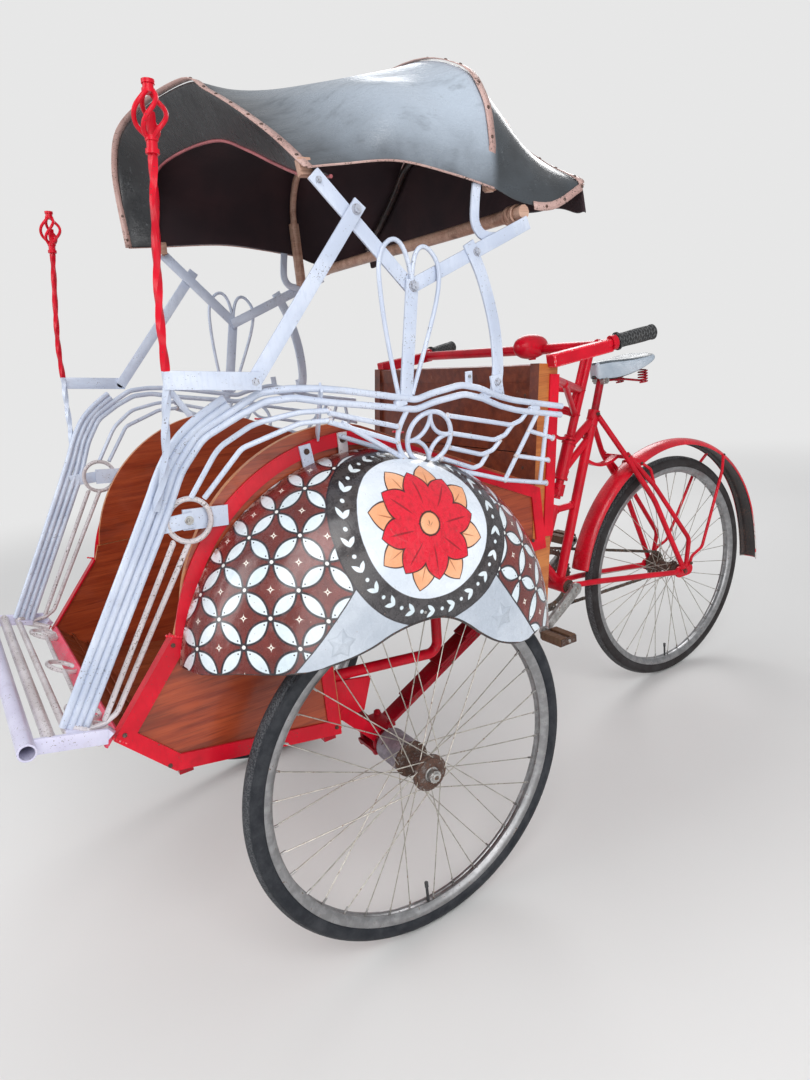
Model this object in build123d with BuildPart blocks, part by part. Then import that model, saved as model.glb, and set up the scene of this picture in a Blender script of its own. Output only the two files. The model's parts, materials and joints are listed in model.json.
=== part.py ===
from build123d import *
from math import atan2, cos, pi, radians, sin, sqrt, tan
import os

# Cycle rickshaw with two front wheels, a passenger cab and a steered rear cycle frame.
# Millimetres, +X forward, +Y to the passenger's left, +Z up, floor at Z = 0.
# Every X in the tables counts from the front axle; from_axle() moves it to the part's frame.
# Parts of the side railing give their Y as a distance outboard of the cab's side face.

# Wheels
tyre_radius = 355.5
tyre_width = 38
tyre_tread_width = 18
rim_seat_radius = 321
rim_width = 31
rim_flange_rise = 2.5
rim_flange_wall = 1.5
rim_depth = 16
seat_gap = 0.3
spoke_count = 36
spoke_size = 2.4
half_track = 430
wheelbase = 1246

# Overall reach, which centres the part on its origin
footrest_tube_x = 636
footrest_tube_size = 28
tail_flare_x = 450
axle_x = (wheelbase + tail_flare_x - footrest_tube_x - footrest_tube_size / 2) / 2

# Cab
panel_outer_y = 341
panel_wall = 12
strip_wall = 4
strip_width = 25
board_seam = 1
seat_frame_z = 675
frame_tube = 25
seat_board_wall = 12
cushion_height = 60
soft_gap = 0.3
side_face = panel_outer_y + strip_wall
inner_y = panel_outer_y - panel_wall

# Railing
rail_rod = 9
bundle_rod = 11.2
bundle_pitch = 11.6
rail_lean = 0.227

# Front axle and springs
axle_beam = 28
spindle_size = 17
running_gap = 0.05
leaf_width = 45
leaf_wall = 7
spring_y = 270

# Side view points of the cab, X from the front axle and Z
toe = (508, 571)
toe_bottom = (425, 485)
heel_bottom = (113, 434)
knee = (386, 715)
split_z = 748
wood_arch_centre = (57, 702)
wood_arch_radius = 316
band_arch_centre = (33, 640)
band_arch_radius = 361
arch_shoulder_radius = 180
slope_angle = 24.4
slope_back_z = 815
back_bottom = (-395, 540)
back_top = (-462, 1068)
post_depth = 52
back_post_wall = 28
post_set_back = 8
post_front = post_depth / 2 - post_set_back + 1

# Steering column, side view points
steer_top = (-932, 1038)
steer_bottom = (-700, 452)
post_size = 24
head_tube_size = 36
head_tube_bottom = 722
head_tube_top = 824
collar_bottom = 680
collar_top = 711
stub_bottom = 492
stub_top = 655

# Cycle frame, side view points
seat_cluster = (-945, 884)
bottom_bracket = (-783, 420)
dropout_y = 66
frame_pipe = 28
stay_pipe = 16
crank_pin_size = 16


def from_axle(x, y, z):
    return Vector(axle_x + x, y, z)


def outboard(x, out, z):
    # Y counted outward from the cab's side face
    return x, side_face + out, z


def side_plane(y):
    return Plane(origin=from_axle(0, y, 0), x_dir=(1, 0, 0), z_dir=(0, -1, 0))


def beside(points, distance):
    # The same flat route moved to the right of its direction
    moved = []
    for i, here in enumerate(points):
        before = Vector(*points[max(i - 1, 0)])
        after = Vector(*points[min(i + 1, len(points) - 1)])
        along = (after - before).normalized()
        moved.append((here[0] + along.Y * distance, here[1] - along.X * distance))
    return moved


def bend_radii(points, largest):
    # Each corner is as round as the runs beside it allow
    radii = []
    for before, here, after in zip(points, points[1:], points[2:]):
        turn = radians((here - before).get_angle(after - here))
        room = 0.45 * min((here - before).length, (after - here).length) / tan(turn / 2)
        radii.append(min(largest, room))
    return radii


def route_line(points, largest):
    corners = [from_axle(*point) for point in points]
    with BuildLine() as route:
        if len(corners) > 2:
            FilletPolyline(*corners, radius=bend_radii(corners, largest))
        else:
            Line(*corners)
    return route.line


def tube(points, size, largest=60):
    line = route_line(points, largest)
    with BuildSketch(Plane(origin=line @ 0, z_dir=line % 0)) as section:
        Circle(size / 2)
    return sweep(sections=section.sketch, path=line, mode=Mode.PRIVATE)


def rod(points, size=rail_rod, largest=60, sides=6):
    line = route_line(points, largest)
    with BuildSketch(Plane(origin=line @ 0, z_dir=line % 0)) as section:
        RegularPolygon(size / 2, sides)
    return sweep(sections=section.sketch, path=line, mode=Mode.PRIVATE)


def strap(points, width, wall, largest=60):
    # A flat bar bent in the side view, its broad face to the side
    line = route_line(points, largest)
    edge = (line % 0).cross(Vector(0, 1, 0))
    with BuildSketch(Plane(origin=line @ 0, x_dir=edge, z_dir=line % 0)) as section:
        Rectangle(width, wall)
    return sweep(sections=section.sketch, path=line, mode=Mode.PRIVATE)


def flat_bar(start, end, width, wall, flat_to=(0, 1, 0)):
    # A straight flat bar whose broad face looks along flat_to
    a = from_axle(*start)
    b = from_axle(*end)
    along = (b - a).normalized()
    edge = along.cross(Vector(*flat_to)).normalized()
    with BuildSketch(Plane(origin=a, x_dir=edge, z_dir=along)) as section:
        Rectangle(width, wall)
    return extrude(section.sketch, amount=(b - a).length, mode=Mode.PRIVATE)


def ring(centre, radius, size, facing):
    plane = Plane(origin=from_axle(*centre), z_dir=facing)
    start = plane.origin + plane.x_dir * radius
    with BuildSketch(Plane(origin=start, x_dir=plane.x_dir, z_dir=plane.y_dir)) as section:
        RegularPolygon(size / 2, 6)
    return revolve(section.sketch, axis=Axis(plane.origin, plane.z_dir), mode=Mode.PRIVATE)


def back_x(z):
    # The cab's back leans with height
    lean = (back_top[0] - back_bottom[0]) / (back_top[1] - back_bottom[1])
    return back_bottom[0] + lean * (z - back_bottom[1])


def steer_x(z):
    lean = (steer_top[0] - steer_bottom[0]) / (steer_top[1] - steer_bottom[1])
    return steer_bottom[0] + lean * (z - steer_bottom[1])


def finish(part, label):
    part.label = label
    export_step(part, f"parts/{label}.step")


def finish_mirrored(part, label):
    with BuildPart() as other:
        mirror(part, about=Plane.XZ)
    finish(other.part, label)


os.makedirs("parts", exist_ok=True)

# Tyres, rims, hubs and spokes
# name, X, Y, inner flange Y, outer flange Y, flange radius, hub bore
wheels = [
    ("front_left", 0, half_track, -24, 36, 36, spindle_size + 2 * running_gap),
    ("front_right", 0, -half_track, -36, 24, 36, spindle_size + 2 * running_gap),
    ("rear", -wheelbase, 0, -24, 24, 24, 10 + 2 * running_gap),
]
flange_wall = 4
drum_radius = 34
drum_length = 105
barrel_radius = 18
front_hub_end = 46
rear_hub_end = 44
sprocket_radius = 34
sprocket_wall = 3
chain_y = -50
rim_flange_radius = rim_seat_radius + rim_flange_rise
rim_inner_radius = rim_seat_radius - rim_depth
tyre_seat_radius = rim_seat_radius + seat_gap
tyre_shoulder_radius = (tyre_radius + rim_seat_radius) / 2 - 4
half_rim = rim_width / 2
half_seat = half_rim - rim_flange_wall


def wheel_plane(x, y):
    return Plane(origin=from_axle(x, y, tyre_radius), x_dir=(0, 1, 0), z_dir=(1, 0, 0))


def wheel_axis(x, y):
    return Axis(from_axle(x, y, tyre_radius), (0, 1, 0))


def spoke_runs(x, y, inner, outer, flange_radius):
    # Four spokes to each group, laced to both flanges and leaning both ways
    groups = spoke_count // 4
    step = 2 * pi / groups
    for group in range(groups):
        # flange Y, side of the rim, head offset, lean, phase at the rim
        for flange_y, side, head, lean, phase in [
            (inner - flange_wall / 2, -1, -2.4, 1, 0.0),
            (inner - flange_wall / 2, -1, 2.4, -1, 0.5),
            (outer + flange_wall / 2, 1, 2.4, 1, 0.25),
            (outer + flange_wall / 2, 1, -2.4, -1, 0.75),
        ]:
            rim_angle = step * (group + phase)
            hub_angle = rim_angle + lean * (step + 0.31)
            hub_r = flange_radius - 5
            rim_r = rim_inner_radius + 2
            yield [
                (x + hub_r * cos(hub_angle), y + flange_y + head, tyre_radius + hub_r * sin(hub_angle)),
                (x + rim_r * cos(rim_angle), y + side * 3 + head / 2, tyre_radius + rim_r * sin(rim_angle)),
            ]


for name, x, y, inner, outer, flange_radius, bore in wheels:
    with BuildPart() as tyre:
        with BuildSketch(wheel_plane(x, y)):
            with BuildLine():
                half = [
                    (half_seat - 2, tyre_seat_radius), (tyre_width / 2, tyre_shoulder_radius),
                    (tyre_tread_width / 2, tyre_radius),
                ]
                Polyline(*half, *[(-a, r) for a, r in reversed(half)], close=True)
            make_face()
        revolve(axis=wheel_axis(x, y))
    finish(tyre.part, f"{name}_tyre")

    with BuildPart() as rim:
        with BuildSketch(wheel_plane(x, y)):
            with BuildLine():
                half = [
                    (half_rim * 0.55, rim_inner_radius), (half_rim, rim_flange_radius),
                    (half_seat, rim_flange_radius), (half_seat - 0.6, rim_seat_radius),
                ]
                Polyline(*half, *[(-a, r) for a, r in reversed(half)], close=True)
            make_face()
        revolve(axis=wheel_axis(x, y))
    finish(rim.part, f"{name}_rim")

    # The front hubs carry a brake drum inboard, the rear hub a sprocket on the right
    side = -1 if y < 0 else 1
    front_hub = [
        (-drum_length, bore / 2), (-drum_length, drum_radius), (-24 - flange_wall, 36), (-24, 36),
        (-24, barrel_radius), (36, barrel_radius), (36, 36), (36 + flange_wall, 36), (front_hub_end, 28),
        (front_hub_end, bore / 2),
    ]
    rear_hub = [
        (chain_y - sprocket_wall / 2, bore / 2), (chain_y - sprocket_wall / 2, sprocket_radius),
        (chain_y + sprocket_wall / 2, sprocket_radius), (chain_y + sprocket_wall / 2, 17),
        (inner - flange_wall, 17), (inner - flange_wall, flange_radius), (inner, flange_radius),
        (inner, barrel_radius - 2), (outer, barrel_radius - 2), (outer, flange_radius),
        (outer + flange_wall, flange_radius), (outer + flange_wall, 15), (rear_hub_end, 15),
        (rear_hub_end, bore / 2),
    ]
    with BuildPart() as hub:
        with BuildSketch(wheel_plane(x, y)):
            with BuildLine():
                if name == "rear":
                    Polyline(*rear_hub, close=True)
                else:
                    Polyline(*[(side * a, r) for a, r in front_hub], close=True)
            make_face()
        revolve(axis=wheel_axis(x, y))
    finish(hub.part, f"{name}_hub")

    with BuildPart() as spokes:
        add([rod(run, spoke_size, sides=4) for run in spoke_runs(x, y, inner, outer, flange_radius)])
    finish(spokes.part, f"{name}_spokes")

# Front axle beam with its spindles and end nuts
nut_across = 26
nut_wall = 12
beam_half = half_track - drum_length - 1
spindle_half = half_track + front_hub_end + nut_wall + 4
with BuildPart() as front_axle:
    for half, sides, size in [(beam_half, 4, axle_beam * sqrt(2)), (spindle_half, 0, spindle_size)]:
        with BuildSketch(Plane.XZ.offset(-half)):
            with Locations((axle_x, tyre_radius)):
                if sides:
                    RegularPolygon(size / 2, sides, rotation=45)
                else:
                    Circle(size / 2)
        extrude(amount=2 * half)
    for nut_y in (half_track + front_hub_end + 0.5 + nut_wall, -half_track - front_hub_end - 0.5):
        with BuildSketch(Plane.XZ.offset(-nut_y)):
            with Locations((axle_x, tyre_radius)):
                RegularPolygon(nut_across / 2, 6)
        extrude(amount=nut_wall)
finish(front_axle.part, "front_axle")

# Leaf springs: the longest leaf lies on the axle beam and rises to the perch below the cab's back
# start share of the slope, layer
short_leaves = [(0.16, 1), (0.40, 2), (0.60, 3)]
beam_top = tyre_radius + axle_beam / 2
leaf_bend = (-20, beam_top + leaf_wall / 2)
perch = (-392, 566)
clamp_wall = 7
clamp_reach = 21
clamp_bolt = 9
with BuildPart() as springs:
    slope = Vector(perch[0] - leaf_bend[0], perch[1] - leaf_bend[1])
    lift = Vector(-slope.Y, slope.X).normalized() * -leaf_wall
    for y in (spring_y, -spring_y):
        add(strap([(clamp_reach + 13, y, leaf_bend[1]), (leaf_bend[0], y, leaf_bend[1]), (perch[0], y, perch[1])],
                  leaf_wall, leaf_width, 90))
        for share, layer in short_leaves:
            first = Vector(*leaf_bend) + slope * share + lift * layer
            last = Vector(*perch) + lift * layer
            add(flat_bar((first.X, y, first.Y), (last.X, y, last.Y), leaf_wall, leaf_width))
        # Clamp plates above and below the beam with their four bolts
        plate_top = leaf_bend[1] + (leaf_wall + clamp_wall) / 2
        plate_low = tyre_radius - (axle_beam + clamp_wall) / 2
        for z in (plate_top, plate_low):
            add(flat_bar((-clamp_reach - 8, y, z), (clamp_reach + 8, y, z), leaf_width + 22, clamp_wall, (0, 0, 1)))
        for x in (-clamp_reach, clamp_reach):
            for s in (1, -1):
                bolt_y = y + s * (leaf_width + clamp_bolt + 2) / 2
                add(rod([(x, bolt_y, plate_low - 9), (x, bolt_y, plate_top + 9)], clamp_bolt))
    # Perch bar that the springs carry, right across below the cab's back
    perch_z = perch[1] + leaf_wall * 4 + 4
    add(flat_bar((perch[0] + 2, -inner_y + 1, perch_z), (perch[0] + 2, inner_y - 1, perch_z), 30, 30, (0, 0, 1)))
    add(front_axle.part, mode=Mode.SUBTRACT)


def arch_line(centre, radius, front, back):
    # From the front point round the arch, over the shoulder and down the slope to the back
    crown = (centre[0], centre[1] + radius)
    middle = (centre[0] + radius * cos(radians(45)), centre[1] + radius * sin(radians(45)))
    over = ThreePointArc(front, middle, crown)
    shoulder = JernArc(over @ 1, (-1, 0), arch_shoulder_radius, slope_angle)
    end = shoulder @ 1
    return Line(end, (back, end.Y - tan(radians(slope_angle)) * (end.X - back)))


def arch_front(centre, radius, z):
    return centre[0] + sqrt(radius**2 - (z - centre[1])**2), z


# Wooden side: the arched upper board and the lower leg board
with BuildPart() as side_panels:
    with BuildSketch(side_plane(panel_outer_y)):
        with BuildLine():
            front = arch_front(wood_arch_centre, wood_arch_radius, split_z)
            slope_line = arch_line(wood_arch_centre, wood_arch_radius, front, back_x(slope_back_z) + post_front)
            Polyline(slope_line @ 1, (back_x(seat_frame_z) + post_front, seat_frame_z), (heel_bottom[0], seat_frame_z),
                     (heel_bottom[0], split_z), front)
        make_face()
        with BuildLine():
            Polyline(toe, toe_bottom, heel_bottom, (heel_bottom[0], split_z - board_seam),
                     (front[0] + 4, split_z - board_seam), knee, close=True)
        make_face()
    extrude(amount=panel_wall)
finish(side_panels.part, "side_panels_left")
finish_mirrored(side_panels.part, "side_panels_right")

# Red steel band round the cab's side, with its edge flats, rear upright, tab and bracket
edge_depth = 22
band_tab_x = 111
bracket_centre = (342, 906)
with BuildPart() as side_frame:
    with BuildSketch(side_plane(side_face)):
        with BuildLine():
            front = arch_front(band_arch_centre, band_arch_radius, knee[1])
            slope_line = arch_line(band_arch_centre, band_arch_radius, front, back_x(slope_back_z) + 6)
            Polyline(slope_line @ 1, (back_x(seat_frame_z) - 20, seat_frame_z), (heel_bottom[0], seat_frame_z),
                     heel_bottom, toe_bottom, toe, front)
        make_face()
        offset(amount=-strip_width, mode=Mode.SUBTRACT)
    extrude(amount=strip_wall)
    folded = [front, toe, toe_bottom, heel_bottom]
    with BuildSketch(side_plane(side_face)):
        with BuildLine():
            Polyline(*folded, *reversed(beside(folded, -strip_wall)), close=True)
        make_face()
    extrude(amount=edge_depth)
    band_y = side_face - strip_wall / 2
    add(flat_bar((back_x(700) - 24, band_y, 700), (back_x(1045) - 24, band_y, 1045), strip_width, strip_wall))
    add(flat_bar((band_tab_x, side_face + 1.4, 990), (band_tab_x - 5, side_face + 3, 938), 22, strip_wall))
    add(flat_bar((265, side_face + 1.6, 898), (bracket_centre[0], side_face + 11, bracket_centre[1]), 34, strip_wall))
    add(side_panels.part, mode=Mode.SUBTRACT)
finish(side_frame.part, "side_frame_left")
finish_mirrored(side_frame.part, "side_frame_right")

# Floor, toe board and seat front in one folded run of boards
board_half = inner_y - 0.5
board_wall = 12
with BuildPart() as floor_boards:
    with BuildSketch(side_plane(board_half)):
        with BuildLine():
            Polyline((heel_bottom[0] - 9, seat_frame_z), (heel_bottom[0] - 9, heel_bottom[1] - 2),
                     (toe_bottom[0] + 5, toe_bottom[1] - 1), (toe[0] + 1, toe[1] - 8), (toe[0] - 8, toe[1] + 1),
                     (toe_bottom[0] - 1, toe_bottom[1] + board_wall), (heel_bottom[0] + 3, heel_bottom[1] + board_wall),
                     (heel_bottom[0] + 3, seat_frame_z), close=True)
        make_face()
    extrude(amount=2 * board_half)
    add(side_frame.part, mode=Mode.SUBTRACT)
    add(mirror(side_frame.part, about=Plane.XZ, mode=Mode.PRIVATE), mode=Mode.SUBTRACT)
finish(floor_boards.part, "floor_boards")

# Red sill across the front of the floor, and cross angles under the boards
sill_height = 34
with BuildPart() as floor_frame:
    sill_half = side_face - edge_depth
    add(flat_bar((toe[0] + 4, -sill_half, toe[1] - 4), (toe[0] + 4, sill_half, toe[1] - 4), sill_height, 6,
                 (0.763, 0, 0.646)))
    for x, z in [(toe_bottom[0] - 20, toe_bottom[1] - 14), (heel_bottom[0] + 16, heel_bottom[1] - 9)]:
        add(flat_bar((x, -sill_half, z), (x, sill_half, z), frame_tube, frame_tube, (0, 0, 1)))
    add(floor_boards.part, mode=Mode.SUBTRACT)
    add(side_frame.part, mode=Mode.SUBTRACT)
finish(floor_frame.part, "floor_frame")

with BuildPart() as seat_board:
    board_z = seat_frame_z + frame_tube
    with BuildSketch(Plane.XY.offset(board_z)):
        with Locations((axle_x + (back_x(board_z) + 30 + 100) / 2, 0)):
            Rectangle(100 - back_x(board_z) - 30, 2 * board_half)
    extrude(amount=seat_board_wall)
finish(seat_board.part, "seat_board")

with BuildPart() as seat_cushion:
    cushion_z = seat_frame_z + frame_tube + seat_board_wall + soft_gap
    with BuildSketch(Plane.XY.offset(cushion_z)):
        with Locations((axle_x - 135, 0)):
            RectangleRounded(450, 2 * board_half - 20, 30)
    extrude(amount=cushion_height)
    chamfer(seat_cushion.edges().group_by(Axis.Z)[-1], 14)
finish(seat_cushion.part, "seat_cushion")

# Leaning back: two posts, two boards with a seam, a top rail and a foot rail
board_split_z = 880
with BuildPart() as back_panel:
    post_y = panel_outer_y - back_post_wall / 2
    board_width = 2 * (panel_outer_y - back_post_wall)
    for s in (1, -1):
        add(flat_bar((back_x(500) - post_set_back, s * post_y, 500),
                     (back_x(back_top[1]) - post_set_back, s * post_y, back_top[1]), post_depth, back_post_wall))
    for low, high in [(715, board_split_z), (board_split_z + 2, 1034)]:
        add(flat_bar((back_x(low), 0, low), (back_x(high), 0, high), 18, board_width))
    add(flat_bar((back_x(1050) - 4, -board_width / 2, 1050), (back_x(1050) - 4, board_width / 2, 1050), 34, 34,
                 (0, 0, 1)))
    add(flat_bar((back_x(522) - post_set_back, -board_width / 2, 522),
                 (back_x(522) - post_set_back, board_width / 2, 522), 40, 30, (0, 0, 1)))
    add(side_frame.part, mode=Mode.SUBTRACT)
finish(back_panel.part, "back_panel")

# The spring perch is notched round the back posts
with BuildPart() as seated_springs:
    add(springs.part)
    add(back_panel.part, mode=Mode.SUBTRACT)
finish(seated_springs.part, "springs")

# Seat frame with hanging tube frames, heel gussets and arms down to the axle
hanger_y = 290
gusset_y = 300
with BuildPart() as seat_frame:
    tube_z = seat_frame_z + frame_tube / 2
    rail_y = inner_y - frame_tube / 2
    heel_back = heel_bottom[0] - 9
    for s in (1, -1):
        add(flat_bar((back_x(seat_frame_z) + 10, s * rail_y, tube_z), (heel_back, s * rail_y, tube_z),
                     frame_tube, frame_tube))
        add(tube([(heel_back, s * hanger_y, 526), (-158, s * hanger_y, 497), (-166, s * hanger_y, tube_z)], 22, 24))
        with BuildSketch(side_plane(s * gusset_y + 3)):
            with BuildLine():
                Polyline((heel_back, 519), (14, 503), (38, 437), (heel_back, 432), close=True)
            make_face()
        extrude(amount=6)
        add(flat_bar((heel_back - 14, s * gusset_y, 452), (16, s * gusset_y, tyre_radius + 14), 26, 8))
    for x in (90, -150, back_x(seat_frame_z) + 22):
        add(flat_bar((x, -rail_y, tube_z), (x, rail_y, tube_z), frame_tube, frame_tube, (0, 0, 1)))
    for solid in (back_panel, floor_boards, front_axle, seated_springs):
        add(solid.part, mode=Mode.SUBTRACT)
finish(seat_frame.part, "seat_frame")

# White footrest: three tubes across, side bars, and rings between the rear tube and the sill
footrest_half = 400
footrest_z = 625
footrest_wall = 3
side_bar_out = 23
ring_radius = 29
ring_plane_rise = 0.536
# X, Z, length beyond the side face, size
cross_tubes = [(602, 616, 23, 20), (575, 609, 10, 13)]
# X, Y of the ring centres
rings = [(534, 222), (531, -31), (533, -268)]


def ring_z(x):
    return 584.5 + ring_plane_rise * (x - 532)


with BuildPart() as footrest:
    add(tube([(footrest_tube_x, -footrest_half, footrest_z), (footrest_tube_x, footrest_half, footrest_z)],
             footrest_tube_size))
    for x, z, out, size in cross_tubes:
        add(tube([outboard(x, out, z), (x, -side_face - out, z)], size))
    for x, y in rings:
        add(ring((x, y, ring_z(x)), ring_radius, rail_rod, (-ring_plane_rise, 0, 1)))
    # Rods from ring to ring and out to the side bars
    stops = [side_face + side_bar_out]
    for x, y in rings:
        stops += [y + ring_radius - 2, y - ring_radius + 2]
    stops.append(-side_face - side_bar_out)
    for start, end in zip(stops[::2], stops[1::2]):
        add(rod([(536, start, ring_z(536)), (532, end, ring_z(532))]))
    for s in (1, -1):
        bar_y = s * (side_face + side_bar_out)
        add(flat_bar((footrest_tube_x - 8, bar_y, 618), (521, bar_y, 595), 24, 8))
        add(flat_bar((524, bar_y, 596), (516, s * (side_face - 8), 585), 20, 14))
        # Foot plate of the rail bundle, stiffening tube and small curl behind it
        foot_y = s * (side_face - 2)
        add(flat_bar((578, foot_y, 612), (548, foot_y, 603), 10, 44))
        add(tube([(566, s * (side_face - 6), 606), (516, s * (side_face - 26), 583)], 14))
        add(ring((522, s * (side_face - 58), ring_z(522)), 15, 8, (-ring_plane_rise, 0, 1)))
    with BuildSketch(Plane.XZ.offset(-footrest_half - 1)):
        with Locations((axle_x + footrest_tube_x, footrest_z)):
            Circle(footrest_tube_size / 2 - footrest_wall)
    extrude(amount=2 * footrest_half + 2, mode=Mode.SUBTRACT)
    for solid in (floor_frame, floor_boards, side_frame, side_panels):
        add(solid.part, mode=Mode.SUBTRACT)
        add(mirror(solid.part, about=Plane.XZ, mode=Mode.PRIVATE), mode=Mode.SUBTRACT)
finish(footrest.part, "footrest")

# Side railing. The front bundle is four rods side by side: X, distance outboard, Z
bundle_route = [(564, -7, 612), (386, 23, 924), (353, 38, 995), (313, 57, 1047), (257, 78, 1076)]
# The two inner rods of the bundle run on along the top: X, distance outboard, Z
top_runs = [
    [(212, 84, 1092), (165, 90, 1093), (113, 96, 1087), (63, 100, 1077), (-12, 99, 1059), (-67, 96, 1046),
     (-100, 98, 1053), (-163, 99, 1060), (-203, 97, 1050), (-251, 93, 1029), (-291, 89, 1016), (-418, 83, 988)],
    [(204, 85, 1078), (157, 91, 1078), (103, 96, 1064), (-20, 95, 1039), (-67, 92, 1029), (-105, 94, 1037),
     (-171, 96, 1043), (-213, 93, 1030), (-257, 88, 1010), (-303, 85, 995), (-418, 79, 971)],
]
# Rods in the leaning plane of the rear railing: X, Z
leaf = [(-49, 1031), (-33, 1005), (-29, 978), (-44, 945), (-66, 931), (-95, 924)]
wings = [
    [(-135, 1009), (-290, 969), (-313, 975), (-328, 991)],
    [(-146, 975), (-250, 946), (-276, 952), (-291, 968)],
    [(-143, 949), (-222, 922), (-248, 927), (-263, 942)],
    [(-126, 932), (-203, 899), (-221, 902), (-233, 919)],
]
ladder = [
    [(-355, 984), (-285, 860)], [(-381, 976), (-381, 837)], [(-336, 951), (-403, 926)], [(-309, 905), (-397, 881)],
]
# Inner rods beside the bundle: X, distance outboard, Z
inner_rods = [
    [(518, -5, 610), (365, 15, 873)],
    [(552, -7, 603), (520, -5, 604), (497, -5, 616), (340, 15, 869)],
    [(325, 19, 941), (274, 35, 1013), (220, 65, 1045), (148, 85, 1054), (100, 94, 1050)],
    [(304, 19, 936), (242, 55, 1009), (148, 80, 1036), (100, 91, 1034)],
    [(103, 96, 1047), (-31, 87, 1004)],
    [(103, 93, 1032), (-30, 81, 978)],
    [(79, 92, 1027), (-42, 74, 947)],
    [(44, 6, 996), (-101, 69, 925), (-285, 54, 860), (-398, 48, 832)],
]
bundle_ring = (333, 16, 905)
bundle_ring_radius = 35
flower = (-98, 975)
flower_radius = 47
# Spacers between the two top rods: X, distance outboard, Z
spacers = [(-35, 96, 1045), (-221, 92, 1034), (-345, 84, 994)]


def leaning(x, z):
    return outboard(x, 55 + rail_lean * (z - 864), z)


with BuildPart() as rail:
    flat_route = [(x, z) for x, out, z in bundle_route]
    for place in range(4):
        shift = (1.5 - place) * bundle_pitch
        route = [outboard(x, row[1], z) for (x, z), row in zip(beside(flat_route, shift), bundle_route)]
        if place > 1:
            route += [outboard(*point) for point in top_runs[place - 2]]
        add(rod(route, bundle_rod, 90))
    add([rod([leaning(x, z) for x, z in run], rail_rod) for run in [leaf, *wings, *ladder]])
    add([rod([outboard(*point) for point in run], rail_rod) for run in inner_rods])
    add(ring(outboard(*bundle_ring), bundle_ring_radius, rail_rod, (0, 1, 0)))
    # Flower ring with four inward arcs
    flower_plane = Plane(origin=from_axle(*leaning(*flower)), x_dir=(1, 0, 0), z_dir=(0, -1, rail_lean))
    add(ring(leaning(*flower), flower_radius, rail_rod, (0, -1, rail_lean)))
    for quarter in range(4):
        turn = radians(90 * quarter)
        with BuildLine(flower_plane) as petal:
            ThreePointArc(*[
                (reach * flower_radius * cos(turn + angle), reach * flower_radius * sin(turn + angle))
                for reach, angle in [(1, 0), (0.36, pi / 4), (1, pi / 2)]
            ])
        with BuildSketch(Plane(origin=petal.line @ 0, z_dir=petal.line % 0)) as section:
            RegularPolygon(rail_rod * 0.45, 6)
        sweep(sections=section.sketch, path=petal.line)
    # Flat post on the band, top spacers, upright tab and the bolted tab of the bundle
    add(flat_bar(outboard(113, 101, 1089), outboard(85, 4, 1000), 20, 4))
    for x, out, z in spacers:
        add(flat_bar(outboard(x - 10, out, z + 2), outboard(x + 10, out, z - 2), 13, 8))
    add(flat_bar(outboard(-180, 99, 1052), outboard(-180, 102, 1078), 14, 3))
    add(flat_bar(outboard(398, 19, 905), outboard(326, 15.4, 905), 25, 4))
    for solid in (footrest, side_frame, side_panels):
        add(solid.part, mode=Mode.SUBTRACT)
finish(rail.part, "rail_left")
finish_mirrored(rail.part, "rail_right")

# Flag poles standing on the bundles: X, distance outboard, Z
pole_size = 12
pole_route = [
    (386, 33, 935), (369, 66, 1000), (361, 88, 1070), (354, 105, 1128), (346, 109, 1235), (318, 105, 1425),
    (310, 105, 1498),
]
basket_low = 1443
basket_high = 1495
basket_radius = 21
with BuildPart() as pole:
    add(rod([outboard(*point) for point in pole_route], pole_size, 200))
    add(flat_bar(outboard(358, 107, 1128), outboard(217, 107, 1110), 27, 6))
    for low, high, size in [(basket_low - 20, basket_low, 16), (basket_high, 1512, 16)]:
        add(tube([outboard(318 - (low - 1425) / 9, 105, low), outboard(318 - (high - 1425) / 9, 105, high)], size))
    middle = 318 - ((basket_low + basket_high) / 2 - 1425) / 9
    for quarter in range(4):
        bar = []
        for share, reach in [(0, 0.25), (0.3, 1), (0.7, 1), (1, 0.25)]:
            turn = radians(90 * quarter + 70 * share)
            z = basket_low + share * (basket_high - basket_low)
            bar.append(outboard(middle + reach * basket_radius * cos(turn),
                                105 + reach * basket_radius * sin(turn), z))
        add(rod(bar, 6, 12, 4))
    add(rail.part, mode=Mode.SUBTRACT)
finish(pole.part, "pole_left")
finish_mirrored(pole.part, "pole_right")

# Hood arms: flat bars lapped at their bolts, with two rod loops and a hook
arm_width = 24
arm_wall = 5
arm_lap = arm_wall + 0.2
post_out = 89
with BuildPart() as hood_arm:
    add(flat_bar(outboard(-46, 97, 1050), outboard(-86, post_out, 1240), arm_width, arm_wall))
    front_out = post_out - arm_lap
    rear_out = front_out - arm_lap
    add(flat_bar(outboard(-91, front_out, 1225), outboard(72, front_out - 2, 1408), arm_width, arm_wall))
    add(flat_bar(outboard(226, 101, 1107), outboard(1, post_out - 0.6, 1361), arm_width, arm_wall))
    add(flat_bar(outboard(-78, rear_out, 1229), outboard(-358, rear_out + 2, 1332), arm_width, arm_wall))
    curve = [(-214, 1300), (-240, 1241), (-259, 1160), (-262, 1085), (-252, 1036)]
    add(strap([outboard(x, front_out, z) for x, z in curve], arm_width, arm_wall, 200))
    hook = [(-250, 1398), (-240, 1345), (-252, 1320), (-292, 1309)]
    add(strap([outboard(x, rear_out - arm_lap, z) for x, z in hook], 18, arm_wall, 40))
    # The loops stand beside the post: X, Z
    for loop in [
        [(-32, 1058), (-22, 1200), (-30, 1272), (-61, 1303), (-82, 1278), (-86, 1240)],
        [(-60, 1056), (-136, 1215), (-143, 1258), (-119, 1289), (-95, 1272), (-86, 1240)],
    ]:
        add(rod([outboard(x, 97 - 0.046 * (z - 1059), z) for x, z in loop], 8))
    add(rail.part, mode=Mode.SUBTRACT)
    add(pole.part, mode=Mode.SUBTRACT)
finish(hood_arm.part, "hood_arm_left")
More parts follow.
